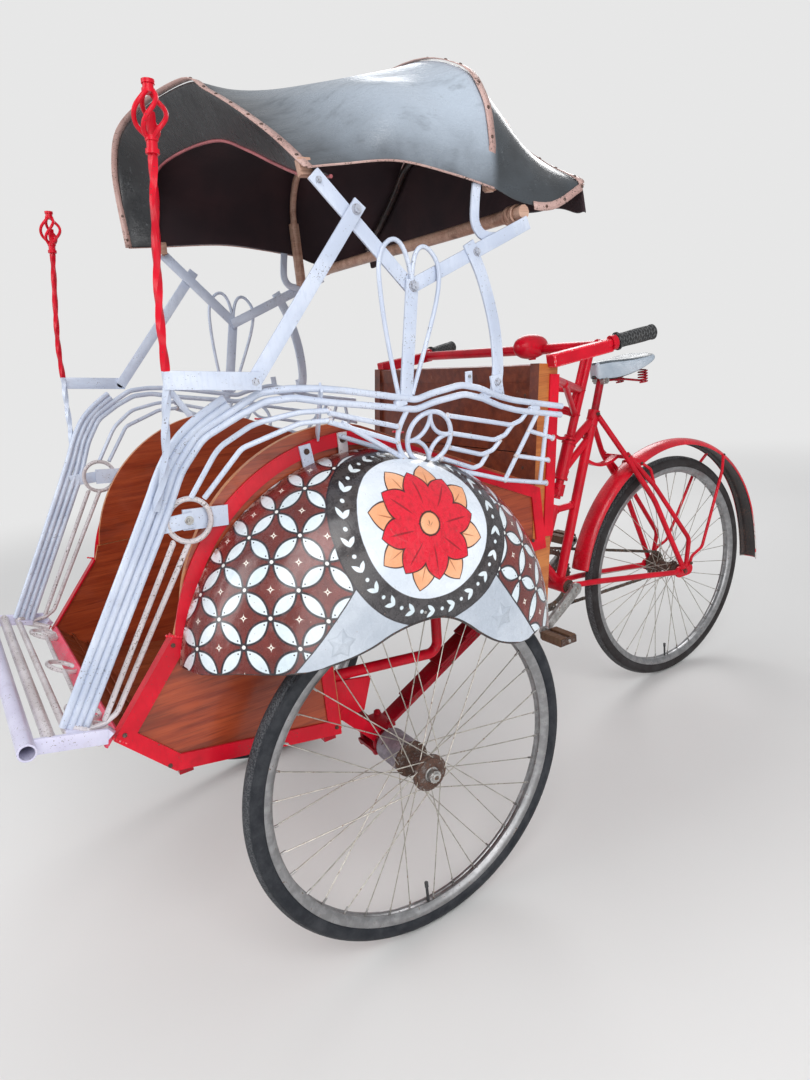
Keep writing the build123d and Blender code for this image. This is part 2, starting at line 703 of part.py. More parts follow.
finish_mirrored(hood_arm.part, "hood_arm_right")

# Leatherette hood, a thin shell through cross sections from the left edge to the right one.
# The right front corner stands further forward than the left.
# X, forward skew, points Y and Z
hood_sections = [
    (114, -0.078, [(430, 1415), (341, 1480), (215, 1549), (126, 1601), (40, 1645), (-208, 1667), (-377, 1655),
                   (-432, 1600), (-440, 1530), (-432, 1425)]),
    (-85, 0, [(430, 1425), (428, 1478), (395, 1530), (330, 1580), (170, 1625), (-150, 1638), (-330, 1600),
              (-400, 1545), (-430, 1480), (-430, 1425)]),
    (-285, 0, [(422, 1392), (424, 1473), (410, 1540), (350, 1602), (180, 1652), (-180, 1660), (-350, 1602),
               (-410, 1540), (-424, 1473), (-422, 1392)]),
    (-507, 0, [(415, 1392), (407, 1412), (330, 1449), (229, 1517), (158, 1588), (-158, 1588), (-229, 1517),
               (-330, 1449), (-407, 1412), (-415, 1392)]),
]
hood_wall = 5
bow_size = 17


def hood_solid(inset):
    with BuildPart() as body:
        for x, skew, points in hood_sections:
            with BuildSketch(Plane(origin=from_axle(x, 0, 0), x_dir=(skew, 1, 0), z_dir=(1, -skew, 0))):
                with BuildLine():
                    Polyline(*[(y - inset * (1 if y > 0 else -1), z - inset) for y, z in points], close=True)
                make_face()
        loft(ruled=True)
    return body.part


with BuildPart() as hood_cover:
    add(hood_solid(0))
    add(hood_solid(hood_wall), mode=Mode.SUBTRACT)
finish(hood_cover.part, "hood_cover")

# Hood bows of wood under the cover, standing on the arms, and a low cross bar
# section, X of the feet, Y of the feet, Z of the feet
bow_feet = [(0, 79, 418, 1404), (2, -285, 409, 1312)]
with BuildPart() as hood_bows:
    for row, foot_x, foot_y, foot_z in bow_feet:
        x, skew, points = hood_sections[row]
        under = hood_wall + bow_size / 2
        hoop = [(x + skew * y, y - under * (1 if y > 0 else -1), z - under) for y, z in points]
        add(rod([(foot_x, foot_y, foot_z), *hoop[1:-1], (foot_x, -foot_y, foot_z)], bow_size, 60))
    x, skew, points = hood_sections[3]
    under -= 4
    add(rod([(x + 12, y - under * (1 if y > 0 else -1), z - under) for y, z in points[1:-1]], bow_size, 60))
    add(tube([(-352, -423, 1349), (-352, 423, 1349)], 22))
    for solid in (hood_cover, hood_arm):
        add(solid.part, mode=Mode.SUBTRACT)
    add(mirror(hood_arm.part, about=Plane.XZ, mode=Mode.PRIVATE), mode=Mode.SUBTRACT)
finish(hood_bows.part, "hood_bows")

# Bulging fender over each front wheel: a turned shell with a scalloped lower edge
fender_wall = 3
fender_bulge = 100
fender_centre = (17, 588)
fender_inner_y = side_face + soft_gap
fender_outer_y = half_track + fender_bulge
# share of the way out, radius
fender_profile = [(0, 378), (0.32, 369), (0.6, 344), (0.81, 305), (0.94, 252), (1, 185), (1, 40)]
# Lower edge in the side view: X, Z
fender_edge = [
    (420, 665), (385, 665), (330, 676), (250, 662), (125, 668), (35, 686), (-12, 684), (-47, 670), (-100, 628),
    (-160, 590), (-215, 580), (-260, 586), (-320, 552), (-600, 552), (-600, 100), (420, 100),
]
with BuildPart() as fender:
    with BuildSketch(Plane(origin=from_axle(fender_centre[0], 0, fender_centre[1]), x_dir=(0, 1, 0),
                           z_dir=(1, 0, 0))):
        with BuildLine():
            reach = fender_outer_y - fender_inner_y
            outside = [(fender_inner_y + share * reach, radius) for share, radius in fender_profile]
            Polyline(*outside, *reversed(beside(outside, fender_wall)), close=True)
        make_face()
    revolve(axis=Axis(from_axle(fender_centre[0], 0, fender_centre[1]), (0, 1, 0)))
    with BuildSketch(side_plane(fender_outer_y + 20)):
        with BuildLine():
            Polyline(*fender_edge, close=True)
        make_face()
    extrude(amount=250, mode=Mode.SUBTRACT)
    for solid in (side_frame, rail):
        add(solid.part, mode=Mode.SUBTRACT)
finish(fender.part, "fender_left")
finish_mirrored(fender.part, "fender_right")

# Push bar behind the cab with its round horn, and ribbed grips
bar_z = 1090
arm_box = 28
horn_centre = (-600, 142, 1099)
with BuildPart() as push_bar:
    for s in (1, -1):
        add(flat_bar((back_x(1073) - 4, s * 350, 1073), (-641, s * 350, 1089), arm_box, arm_box))
        add(tube([(-620, s * 352, 1092), (-743, s * 379, 1107)], 22))
    add(tube([(-622, -352, bar_z), (-622, 352, bar_z)], 24))
    with BuildSketch(Plane(origin=from_axle(*horn_centre), x_dir=(1, 0, 0), z_dir=(0, -1, 0))):
        with BuildLine():
            Polyline((-48, 0), (-44, 12), (-28, 24), (0, 28), (28, 24), (44, 12), (48, 0), close=True)
        make_face()
    revolve(axis=Axis(from_axle(*horn_centre), (1, 0, 0)))
    add(back_panel.part, mode=Mode.SUBTRACT)
    add(side_frame.part, mode=Mode.SUBTRACT)
    add(mirror(side_frame.part, about=Plane.XZ, mode=Mode.PRIVATE), mode=Mode.SUBTRACT)
finish(push_bar.part, "push_bar")

with BuildPart() as grips:
    for s in (1, -1):
        add(tube([(-652, s * 359, 1096), (-748, s * 380, 1108)], 32))
    add(push_bar.part, mode=Mode.SUBTRACT)
finish(grips.part, "grips")

# Steering post of the cab: lower collar on the seat frame, upper braces from the back, scroll ring
post_low = collar_bottom - 8
post_high = 1000
scroll_radius = 42
seat_rail_x = back_x(seat_frame_z) + 22 - frame_tube / 2
with BuildPart() as steering_post:
    add(tube([(steer_x(post_low), 0, post_low), (steer_x(post_high), 0, post_high)], post_size))
    add(tube([(steer_x(collar_bottom), 0, collar_bottom), (steer_x(collar_top), 0, collar_top)], head_tube_size))
    collar_z = (collar_bottom + collar_top) / 2
    for s in (1, -1):
        add(tube([(steer_x(collar_z) + 6, 0, collar_z), (seat_rail_x, s * 240, seat_frame_z + frame_tube / 2)], 20))
        add(tube([(steer_x(961) + 4, 0, 961), (back_x(1041) - 34, s * 318, 1038)], 20))
        add(tube([(steer_x(896) + 4, 0, 896), (-652, s * 197, 1004)], 16))
    add(ring((steer_x(878) + scroll_radius, 0, 878), scroll_radius, 10, (0, 1, 0)))
    for solid in (back_panel, seat_frame, side_frame):
        add(solid.part, mode=Mode.SUBTRACT)
    add(mirror(side_frame.part, about=Plane.XZ, mode=Mode.PRIVATE), mode=Mode.SUBTRACT)
finish(steering_post.part, "steering_post")

# Cycle frame
shell_half = 36
shell_size = 42
brace_pipe = 20
with BuildPart() as cycle_frame:
    bracket_x, bracket_z = bottom_bracket
    cluster_x, cluster_z = seat_cluster
    seat_tube_x = bracket_x + (cluster_x - bracket_x) * (640 - bracket_z) / (cluster_z - bracket_z)
    # start X, Z, end X, Z, size
    for x0, z0, x1, z1, size in [
        (steer_x(head_tube_bottom), head_tube_bottom, steer_x(head_tube_top), head_tube_top, head_tube_size),
        (steer_x(stub_bottom), stub_bottom, steer_x(stub_top), stub_top, frame_pipe),
        (cluster_x - 4, cluster_z + 12, bracket_x, bracket_z, frame_pipe),
        (cluster_x, cluster_z - 10, steer_x(808), 808, 24),
        (cluster_x + 22, cluster_z - 62, steer_x(738), 738, brace_pipe),
        (bracket_x, bracket_z, steer_x(506), 506, 24),
        (seat_tube_x, 640, steer_x(640), 640, brace_pipe),
    ]:
        add(tube([(x0, 0, z0), (x1, 0, z1)], size))
    add(tube([(bracket_x, -shell_half, bracket_z), (bracket_x, shell_half, bracket_z)], shell_size))
    for s in (1, -1):
        add(tube([(cluster_x - 5, s * 14, cluster_z - 4), (-1023, s * 45, 757), (-1133, s * 54, 603),
                  (-wheelbase, s * dropout_y, tyre_radius + 8)], stay_pipe))
        add(tube([(-1027, s * 47, 762), (-1137, s * 52, 646), (-wheelbase - 34, s * 62, tyre_radius + 96),
                  (-wheelbase - 12, s * dropout_y, tyre_radius + 6)], stay_pipe))
        add(tube([(bracket_x - 10, s * 26, bracket_z - 4), (-905, s * 40, 404),
                  (-wheelbase, s * dropout_y, tyre_radius - 4)], stay_pipe))
        add(flat_bar((-wheelbase + 25, s * dropout_y, tyre_radius), (-wheelbase - 35, s * dropout_y, tyre_radius),
                     36, 6))
    # Curved strap from the seat tube to the bridge between the stays
    add(strap([(-903, 0, 762), (-960, 0, 737), (-1030, 0, 752)], 8, 22, 120))
    add(tube([(-1030, -44, 752), (-1030, 44, 752)], 12))
    add(tube([(-wheelbase, -dropout_y - 12, tyre_radius), (-wheelbase, dropout_y + 12, tyre_radius)], 10))
    add(tube([(steer_x(post_low - 5), 0, post_low - 5), (steer_x(1020), 0, 1020)], post_size + 2 * running_gap),
        mode=Mode.SUBTRACT)
    add(tube([(bracket_x, -60, bracket_z), (bracket_x, 60, bracket_z)], crank_pin_size + 2 * running_gap),
        mode=Mode.SUBTRACT)
finish(cycle_frame.part, "cycle_frame")

# Rear fender: a curved channel round the wheel with a flared tail, straps and stays
rear_fender_radius = 424
rear_fender_centre = (-wheelbase - 17, tyre_radius - 14.5)
rear_fender_wall = 2.5
# half width, drop below the crest
channel_half = [(31, 18), (22, 4), (0, 0)]
tail_tip = (-wheelbase - tail_flare_x + 1, 280)


def round_rear_fender(angle, radius=rear_fender_radius):
    return (rear_fender_centre[0] + radius * cos(radians(angle)),
            rear_fender_centre[1] + radius * sin(radians(angle)))


with BuildPart() as rear_fender:
    with BuildLine(side_plane(0)) as crest:
        over = ThreePointArc(round_rear_fender(14), round_rear_fender(90), round_rear_fender(166))
        TangentArc(over @ 1, side_plane(0).from_local_coords(tail_tip), tangent=over % 1)
    with BuildSketch(Plane(origin=crest.line @ 0, x_dir=(0, 1, 0), z_dir=crest.line % 0)) as channel:
        with BuildLine():
            outside = channel_half + [(-half, drop) for half, drop in reversed(channel_half[:-1])]
            Polyline(*outside, *reversed(beside(outside, -rear_fender_wall)), close=True)
        make_face()
    sweep(sections=channel.sketch, path=crest.line)
    strap_x, strap_z = round_rear_fender(67, rear_fender_radius - 12)
    stay_x, stay_z = round_rear_fender(124, rear_fender_radius - 14)
    for s in (1, -1):
        add(rod([(-1134, s * 52, 655), (-1122, s * 50, 700), (strap_x, s * 30, strap_z)], 8))
        add(rod([(-wheelbase - 24, s * (dropout_y + 4), tyre_radius + 10), (-wheelbase - 37, s * 70, 396),
                 (-wheelbase - 89, s * 68, 413), (-wheelbase - 213, s * 50, 634), (stay_x, s * 30, stay_z)], 8))
    add(cycle_frame.part, mode=Mode.SUBTRACT)
finish(rear_fender.part, "rear_fender")

saddle_bottom = 985
saddle_height = 48
with BuildPart() as saddle:
    with BuildSketch(Plane.XY.offset(saddle_bottom)):
        with BuildLine():
            half = [(axle_x - 956, 16), (axle_x - 1030, 28), (axle_x - 1078, 70), (axle_x - 1105, 80),
                    (axle_x - 1134, 62)]
            Polyline(*half, *[(x, -y) for x, y in reversed(half)], close=True)
        make_face()
    extrude(amount=saddle_height)
    chamfer(saddle.edges().group_by(Axis.Z)[-1], 11)
finish(saddle.part, "saddle")

with BuildPart() as seat_post:
    rail_z = saddle_bottom - 6.3
    add(tube([(seat_cluster[0] - 6, 0, seat_cluster[1] + 10), (seat_cluster[0] - 34, 0, rail_z)], 22))
    add(flat_bar((-966, 0, rail_z), (-1112, 0, rail_z), 30, 12, (0, 0, 1)))
    add(cycle_frame.part, mode=Mode.SUBTRACT)
finish(seat_post.part, "seat_post")

# Crank with chainring and pedals
chainring_radius = 90
chainring_rim = 14
chainring_arms = 5
crank_length = 165
crank_angle = radians(-35)
arm_y = 66
pedal_y = 125
pedal_width = 80
with BuildPart() as crank:
    cx, cz = bottom_bracket
    add(tube([(cx, -arm_y + 4, cz), (cx, arm_y - 4, cz)], crank_pin_size))
    for s, turn in ((1, 0), (-1, pi)):
        dx = crank_length * cos(crank_angle + turn)
        dz = crank_length * sin(crank_angle + turn)
        add(flat_bar((cx - dx * 0.08, s * arm_y, cz - dz * 0.08), (cx + dx, s * (arm_y + 6), cz + dz), 22, 12))
        add(tube([(cx + dx * 0.95, s * arm_y, cz + dz * 0.95), (cx + dx * 0.95, s * 160, cz + dz * 0.95)], 12))
    with BuildSketch(Plane.XZ.offset(-chain_y - sprocket_wall / 2)):
        with Locations((axle_x + cx, cz)):
            Circle(chainring_radius)
            Circle(chainring_radius - chainring_rim, mode=Mode.SUBTRACT)
    extrude(amount=sprocket_wall)
    arm_reach = chainring_radius - chainring_rim / 2
    for arm in range(chainring_arms):
        turn = 2 * pi * arm / chainring_arms
        add(flat_bar((cx, chain_y, cz), (cx + arm_reach * cos(turn), chain_y, cz + arm_reach * sin(turn)),
                     12, sprocket_wall))
finish(crank.part, "crank")

with BuildPart() as pedals:
    for s, turn in ((1, 0), (-1, pi)):
        px = cx + crank_length * 0.95 * cos(crank_angle + turn)
        pz = cz + crank_length * 0.95 * sin(crank_angle + turn)
        add(flat_bar((px - 28, s * pedal_y, pz), (px + 28, s * pedal_y, pz), 24, pedal_width))
    add(crank.part, mode=Mode.SUBTRACT)
finish(pedals.part, "pedals")

# Chain: one closed band round the chainring and the sprocket
chain_gap = 0.6
chain_height = 9
chain_width = 8


def belt(large, small):
    # The outline of a belt round two wheels: two straight runs and two arcs
    first = Vector(axle_x + bottom_bracket[0], bottom_bracket[1])
    second = Vector(axle_x - wheelbase, tyre_radius)
    centres = second - first
    heading = atan2(centres.Y, centres.X)
    lean = atan2(large - small, sqrt(centres.length**2 - (large - small)**2))

    def on_wheel(centre, radius, angle):
        return centre.X + radius * cos(angle), centre.Y + radius * sin(angle)

    upper = heading - pi / 2 + lean
    lower = heading + pi / 2 - lean
    Line(on_wheel(first, large, upper), on_wheel(second, small, upper))
    ThreePointArc(on_wheel(second, small, upper), on_wheel(second, small, heading), on_wheel(second, small, lower))
    Line(on_wheel(second, small, lower), on_wheel(first, large, lower))
    ThreePointArc(on_wheel(first, large, lower), on_wheel(first, large, heading + pi),
                  on_wheel(first, large, upper))


with BuildPart() as chain:
    with BuildSketch(Plane.XZ.offset(-chain_y - chain_width / 2)):
        with BuildLine():
            belt(chainring_radius + chain_gap + chain_height, sprocket_radius + chain_gap + chain_height)
        make_face()
        with BuildLine():
            belt(chainring_radius + chain_gap, sprocket_radius + chain_gap)
        make_face(mode=Mode.SUBTRACT)
    extrude(amount=chain_width)
finish(chain.part, "chain")
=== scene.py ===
import json
import math
import random

import bmesh
import bpy
from mathutils import Matrix, Vector

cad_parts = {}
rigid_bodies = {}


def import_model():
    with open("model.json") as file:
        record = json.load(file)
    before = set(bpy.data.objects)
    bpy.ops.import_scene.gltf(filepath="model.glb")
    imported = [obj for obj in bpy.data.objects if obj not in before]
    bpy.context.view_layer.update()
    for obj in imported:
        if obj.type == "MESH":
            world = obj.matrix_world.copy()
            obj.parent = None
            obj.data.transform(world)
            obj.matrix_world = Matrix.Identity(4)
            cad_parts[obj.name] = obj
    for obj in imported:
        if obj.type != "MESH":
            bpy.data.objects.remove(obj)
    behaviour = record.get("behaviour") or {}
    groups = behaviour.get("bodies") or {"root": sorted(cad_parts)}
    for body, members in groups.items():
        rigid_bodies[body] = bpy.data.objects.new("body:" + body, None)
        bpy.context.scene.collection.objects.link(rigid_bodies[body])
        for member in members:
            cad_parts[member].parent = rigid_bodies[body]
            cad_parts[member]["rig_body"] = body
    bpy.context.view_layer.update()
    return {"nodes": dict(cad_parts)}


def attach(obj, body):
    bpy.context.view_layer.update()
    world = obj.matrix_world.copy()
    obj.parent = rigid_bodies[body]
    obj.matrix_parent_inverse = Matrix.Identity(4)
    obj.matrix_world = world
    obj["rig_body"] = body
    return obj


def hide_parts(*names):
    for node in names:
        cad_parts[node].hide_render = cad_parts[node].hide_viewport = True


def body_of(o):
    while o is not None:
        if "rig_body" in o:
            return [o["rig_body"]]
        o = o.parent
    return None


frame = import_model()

# Cycle rickshaw. Tables are in millimetres from the front axle's centre line,
# +X forward, +Y to the passenger's left, +Z up from the ground; place() turns them to the frame's metres.
axleX = 523
sideFace = 345
bothSides = ((1, "left"), (-1, "right"))
chance = random.Random(7)


def place(x, y, z):
    return Vector((axleX + x, y, z)) / 1000


def outboard(x, out, z, side=1):
    # Y counted outward from the cab's side face
    return place(x, side * (sideFace + out), z)


def linked(name, data):
    # An object in the scene that holds the data
    obj = bpy.data.objects.new(name, data)
    bpy.context.collection.objects.link(obj)
    return obj


def meshOf(name, bm):
    mesh = bpy.data.meshes.new(name)
    bm.to_mesh(mesh)
    bm.free()
    return mesh


def finalMesh(obj):
    # The mesh that the object's modifiers give now
    bpy.context.view_layer.update()
    return bpy.data.meshes.new_from_object(obj.evaluated_get(bpy.context.evaluated_depsgraph_get()))


# Camera, floor and light
cameraValues = {
    "position": (0.6521 + axleX / 1000, 1.5533, 1.1539),
    "azimuth": -120.974,
    "elevation": -15.034,
    "roll": -5.978,
    "lens": 755.636 * 36 / 1080,
}


def makeCamera(values):
    azimuth, elevation, roll = (math.radians(values[key]) for key in ("azimuth", "elevation", "roll"))
    ahead = Vector((math.cos(azimuth) * math.cos(elevation), math.sin(azimuth) * math.cos(elevation),
                    math.sin(elevation)))
    right = ahead.cross(Vector((0, 0, 1))).normalized()
    down = ahead.cross(right)
    rightRolled = right * math.cos(roll) - down * math.sin(roll)
    downRolled = right * math.sin(roll) + down * math.cos(roll)
    camera = linked("camera", bpy.data.cameras.new("camera"))
    turn = Matrix((rightRolled, -downRolled, -ahead)).transposed().to_4x4()
    camera.matrix_world = Matrix.Translation(values["position"]) @ turn
    camera.data.lens = values["lens"]
    camera.data.sensor_fit = "AUTO"
    camera.data.sensor_width = 36
    camera.data.clip_start = 0.02
    bpy.context.scene.camera = camera


lampValues = {
    # name: position, aimed at, size, power
    "windowLamp": ((1.6, 3.4, 3.6), (0.2, 0, 0.8), 3.2, 105),
    "frontLamp": ((3.8, -0.4, 2.6), (0.3, 0, 0.7), 2.6, 55),
    "backLamp": ((-2.6, -2.6, 3.0), (0, 0, 1.0), 2.4, 60),
    "lowLamp": ((0.4, 3.2, 0.7), (0.1, 0.3, 0.5), 2.0, 22),
}
floorValues = {
    "colour": (0.72, 0.716, 0.708),
    "size": 80,
    "fade": (2.6, 5.5),
    "sky": (0.86, 0.87, 0.89),
    "skyStrength": 0.62,
    "backdrop": (0.80, 0.80, 0.80),
}


def makeLamps(values):
    for name, (position, aim, size, power) in values.items():
        light = bpy.data.lights.new(name, "AREA")
        light.shape = "DISK"
        light.size = size
        light.energy = power
        lamp = linked(name, light)
        lamp.location = position
        lamp.rotation_euler = (Vector(aim) - Vector(position)).to_track_quat("-Z", "Y").to_euler()


def makeFloor(values):
    # The floor melts into a plain backdrop of the same colour, which only the camera sees
    bm = bmesh.new()
    bmesh.ops.create_grid(bm, x_segments=1, y_segments=1, size=values["size"] / 2)
    ground = linked("studioFloor", meshOf("studioFloor", bm))
    paint = Finish("floorPaint", roughness=0.9)
    cloud = paint.noise(0.8, 3)
    colour = values["colour"]
    paint.set("Base Color", paint.mix(cloud.band(0.3, 0.7), [c * 0.975 for c in colour], colour))
    x, y, z = paint.split(paint.coords)
    away = (x * x + y * y).root().band(*values["fade"])
    seen = paint.node("LightPath", {}, {}, "Is Camera Ray")
    glow = paint.node("Emission", {}, {"Color": (*values["backdrop"], 1), "Strength": 1.0})
    blend = paint.node("MixShader", {}, {0: away * seen, 1: Value(paint, paint.shader.outputs[0]), 2: glow})
    paint.tree.links.new(blend.socket, paint.tree.nodes["Material Output"].inputs["Surface"])
    ground.data.materials.append(paint.material)
    world = bpy.data.worlds.new("studio")
    world.use_nodes = True
    tree = world.node_tree
    light, shown = tree.nodes["Background"], tree.nodes.new("ShaderNodeBackground")
    light.inputs["Color"].default_value = (*values["sky"], 1)
    light.inputs["Strength"].default_value = values["skyStrength"]
    shown.inputs["Color"].default_value = (*values["backdrop"], 1)
    path, mix = tree.nodes.new("ShaderNodeLightPath"), tree.nodes.new("ShaderNodeMixShader")
    tree.links.new(path.outputs["Is Camera Ray"], mix.inputs[0])
    tree.links.new(light.outputs[0], mix.inputs[1])
    tree.links.new(shown.outputs[0], mix.inputs[2])
    tree.links.new(mix.outputs[0], tree.nodes["World Output"].inputs["Surface"])
    bpy.context.scene.world = world
    bpy.context.scene.view_settings.view_transform = "Standard"


# Shader tools
class Value:
    # One socket of a finish, so that shader maths reads as plain expressions
    def __init__(self, finish, socket):
        self.finish = finish
        self.socket = socket

    def math(self, operation, first, *others):
        return self.finish.node("Math", {"operation": operation}, dict(enumerate((first, *others))))

    def __add__(self, other):
        return self.math("ADD", self, other)

    def __radd__(self, other):
        return self.math("ADD", other, self)

    def __sub__(self, other):
        return self.math("SUBTRACT", self, other)

    def __rsub__(self, other):
        return self.math("SUBTRACT", other, self)

    def __mul__(self, other):
        return self.math("MULTIPLY", self, other)

    def __rmul__(self, other):
        return self.math("MULTIPLY", other, self)

    def __truediv__(self, other):
        return self.math("DIVIDE", self, other)

    def __pow__(self, other):
        return self.math("POWER", self, other)

    def __abs__(self):
        return self.math("ABSOLUTE", self)

    def least(self, other):
        return self.math("MINIMUM", self, other)

    def most(self, other):
        return self.math("MAXIMUM", self, other)

    def sine(self):
        return self.math("SINE", self)

    def root(self):
        return self.math("SQRT", self)

    def cell(self, size):
        # Distance from the middle of the nearest repeat, from -size/2 to size/2
        return self.math("WRAP", self, size / 2, -size / 2)

    def band(self, start, end):
        # 0 before start and 1 past end, with a soft step between
        return self.finish.node("MapRange", {"interpolation_type": "SMOOTHSTEP"},
                                {"Value": self, "From Min": start, "From Max": end})


class Finish:
    def __init__(self, name, roughness=0.5, metallic=0.0, coat=0.0, coatRoughness=0.1):
        self.material = bpy.data.materials.new(name)
        self.material.use_nodes = True
        self.tree = self.material.node_tree
        self.shader = self.tree.nodes["Principled BSDF"]
        self.coords = self.node("TexCoord", {}, {}, "Object")
        self.set("Roughness", roughness)
        self.set("Metallic", metallic)
        self.set("Coat Weight", coat)
        self.set("Coat Roughness", coatRoughness)

    def node(self, kind, settings, inputs, out=0):
        made = self.tree.nodes.new("ShaderNode" + kind)
        for key, setting in settings.items():
            setattr(made, key, setting)
        for key, given in inputs.items():
            if isinstance(given, Value):
                self.tree.links.new(given.socket, made.inputs[key])
            else:
                made.inputs[key].default_value = given
        return Value(self, made.outputs[out])

    def set(self, name, given):
        socket = self.shader.inputs[name]
        if isinstance(given, Value):
            self.tree.links.new(given.socket, socket)
        elif name == "Base Color":
            socket.default_value = (*given[:3], 1)
        else:
            socket.default_value = given

    def noise(self, scale, detail=3, rough=0.55, stretch=(1, 1, 1), turn=(0, 0, 0), shift=0.0):
        where = self.node("Mapping", {}, {"Vector": self.coords, "Scale": stretch, "Rotation": turn,
                                          "Location": (shift, shift, shift)})
        return self.node("TexNoise", {}, {"Vector": where, "Scale": scale, "Detail": detail,
                                          "Roughness": rough})

    def mix(self, factor, first, second):
        first, second = (c if isinstance(c, Value) else (*c[:3], 1) for c in (first, second))
        return self.node("Mix", {"data_type": "RGBA"}, {0: factor, 6: first, 7: second}, 2)

    def split(self, vector):
        parts = self.node("SeparateXYZ", {}, {"Vector": vector}).socket.node
        return [Value(self, parts.outputs[i]) for i in range(3)]

    def bump(self, height, distance, strength=1.0):
        made = self.node("Bump", {}, {"Height": height, "Distance": distance, "Strength": strength})
        self.set("Normal", made)


# Finishes
finishes = {}


def addFinish(maker, name, *given, **more):
    finishes[name] = maker(name, *given, **more)


def enamel(name, colour, shade, under, dirt, chips=0.69, gloss=0.28, strokes=0.35, grime=0.5, coat=0.25,
           shine=0.5):
    # Brushed enamel: strokes, thin spots, chips down to the metal and dirt in patches
    paint = Finish(name, coat=coat, coatRoughness=0.12)
    paint.set("Specular IOR Level", shine)
    cloud = paint.noise(11, 4)
    stroke = paint.noise(210, 2, 0.6, (1, 1, 0.22), (0.2, 0.1, 0))
    patch = paint.noise(34, 6, 0.72, shift=3)
    speck = paint.noise(330, 2, 0.6, shift=7)
    worn = paint.noise(19, 3, 0.6, shift=11)
    base = paint.mix(cloud.band(0.35, 0.68), shade, colour)
    base = paint.mix(stroke.band(0.48, 0.66) * strokes, base, shade)
    base = paint.mix(patch.band(0.56, 0.76) * grime, base, dirt)
    chip = (speck + worn * 0.35).band(chips + 0.17, chips + 0.20)
    base = paint.mix(chip, base, under)
    paint.set("Base Color", base)
    paint.set("Roughness", gloss + patch.band(0.5, 0.75) * 0.3 + chip * 0.3)
    paint.bump(stroke * 0.4 + cloud * 0.6 - chip * 0.8, 0.0006, 0.5)
    return paint.material


def wood(name, dark, middle, light, turn, streaks=0.5, varnish=0.28, edge=0.0):
    # Varnished board with its grain along the turned X axis
    paint = Finish(name, coat=varnish, coatRoughness=0.16)
    paint.set("Specular IOR Level", 0.32)
    grain = paint.noise(62, 5, 0.65, (0.06, 1, 1), turn)
    fine = paint.noise(420, 2, 0.6, (0.03, 1, 1), turn, 2)
    streak = paint.noise(15, 4, 0.7, (0.13, 1, 1), turn, 5)
    cloud = paint.noise(4.5, 3, shift=9)
    wet = paint.noise(24, 6, 0.75, shift=13)
    base = paint.mix(grain.band(0.36, 0.66), middle, light)
    base = paint.mix(cloud.band(0.42, 0.68) * 0.45, base, light)
    base = paint.mix(streak.band(0.52, 0.68) * streaks, base, dark)
    base = paint.mix(fine.band(0.5, 0.7) * 0.35, base, dark)
    base = paint.mix(wet.band(0.64, 0.74) * edge, base, (0.45, 0.33, 0.24))
    paint.set("Base Color", base)
    paint.set("Roughness", 0.3 + wet.band(0.45, 0.7) * 0.3)
    paint.bump(grain * 0.6 + fine * 0.4, 0.0009, 0.6)
    return paint.material


def metal(name, bright, dull, rust, rusting=0.5, roughness=0.3, metallic=0.9):
    # Brushed metal, dull in clouds and rusty in spots
    paint = Finish(name)
    cloud = paint.noise(60, 4)
    spot = paint.noise(150, 5, 0.7, shift=4)
    brushed = paint.noise(500, 2, 0.6, (0.2, 1, 1), shift=6)
    rusty = (spot + cloud * 0.5).band(0.98 - rusting * 0.42, 1.08 - rusting * 0.36)
    base = paint.mix(cloud.band(0.35, 0.7), dull, bright)
    rustColour = paint.mix(spot.band(0.4, 0.7), [c * 0.45 for c in rust], rust)
    paint.set("Base Color", paint.mix(rusty, base, rustColour))
    paint.set("Metallic", metallic - rusty * metallic)
    paint.set("Roughness", roughness + brushed * 0.12 + rusty * 0.45)
    paint.bump(brushed * 0.3 + rusty * 0.7, 0.0005, 0.5)
    return paint.material


def rubber(name, colour, dust, dusting, centre=None):
    # With a centre, the tread blocks and side ribs run round that wheel
    paint = Finish(name)
    paint.set("Specular IOR Level", 0.25)
    cloud = paint.noise(14, 5, 0.7)
    grit = paint.noise(400, 3, 0.7, shift=2)
    smear = paint.noise(42, 5, 0.72, shift=6)
    cover = (cloud * 0.55 + smear * 0.6).band(0.42, 0.86) * dusting
    if centre:
        x, y, z = paint.split(paint.coords)
        dx = x - (axleX + centre[0]) / 1000
        dz = z - wheelShape["height"] / 1000
        reach = (dx * dx + dz * dz).root()
        angle = dx.math("ARCTAN2", dz, dx)
        across = y - centre[1] / 1000
        tread = reach.band(0.3475, 0.3505)
        lug = (angle * 150 + abs(across) * 700).sine().band(-0.3, 0.3)
        groove = abs(abs(across) - 0.0055).band(0.0006, 0.0014)
        rib = (reach * 1900).sine().band(-0.2, 0.5) * reach.band(0.343, 0.345) * (1 - tread)
        cut = (lug * groove).most(1 - tread)
        cover = (cover + tread * grit.band(0.42, 0.6) * 0.55).least(0.95)
        paint.bump(cut * 1.0 + rib * 0.35 + grit * 0.12, 0.0016, 0.9)
    else:
        ridge = (paint.split(paint.coords)[0] * 2400).sine()
        paint.bump(grit * 0.5 + ridge * 0.25, 0.0008, 0.6)
    paint.set("Base Color", paint.mix(cover, colour, dust))
    paint.set("Roughness", 0.55 + cover * 0.35)
    return paint.material


paleColour = (0.62, 0.675, 0.79)
redColour = (0.67, 0.007, 0.025)


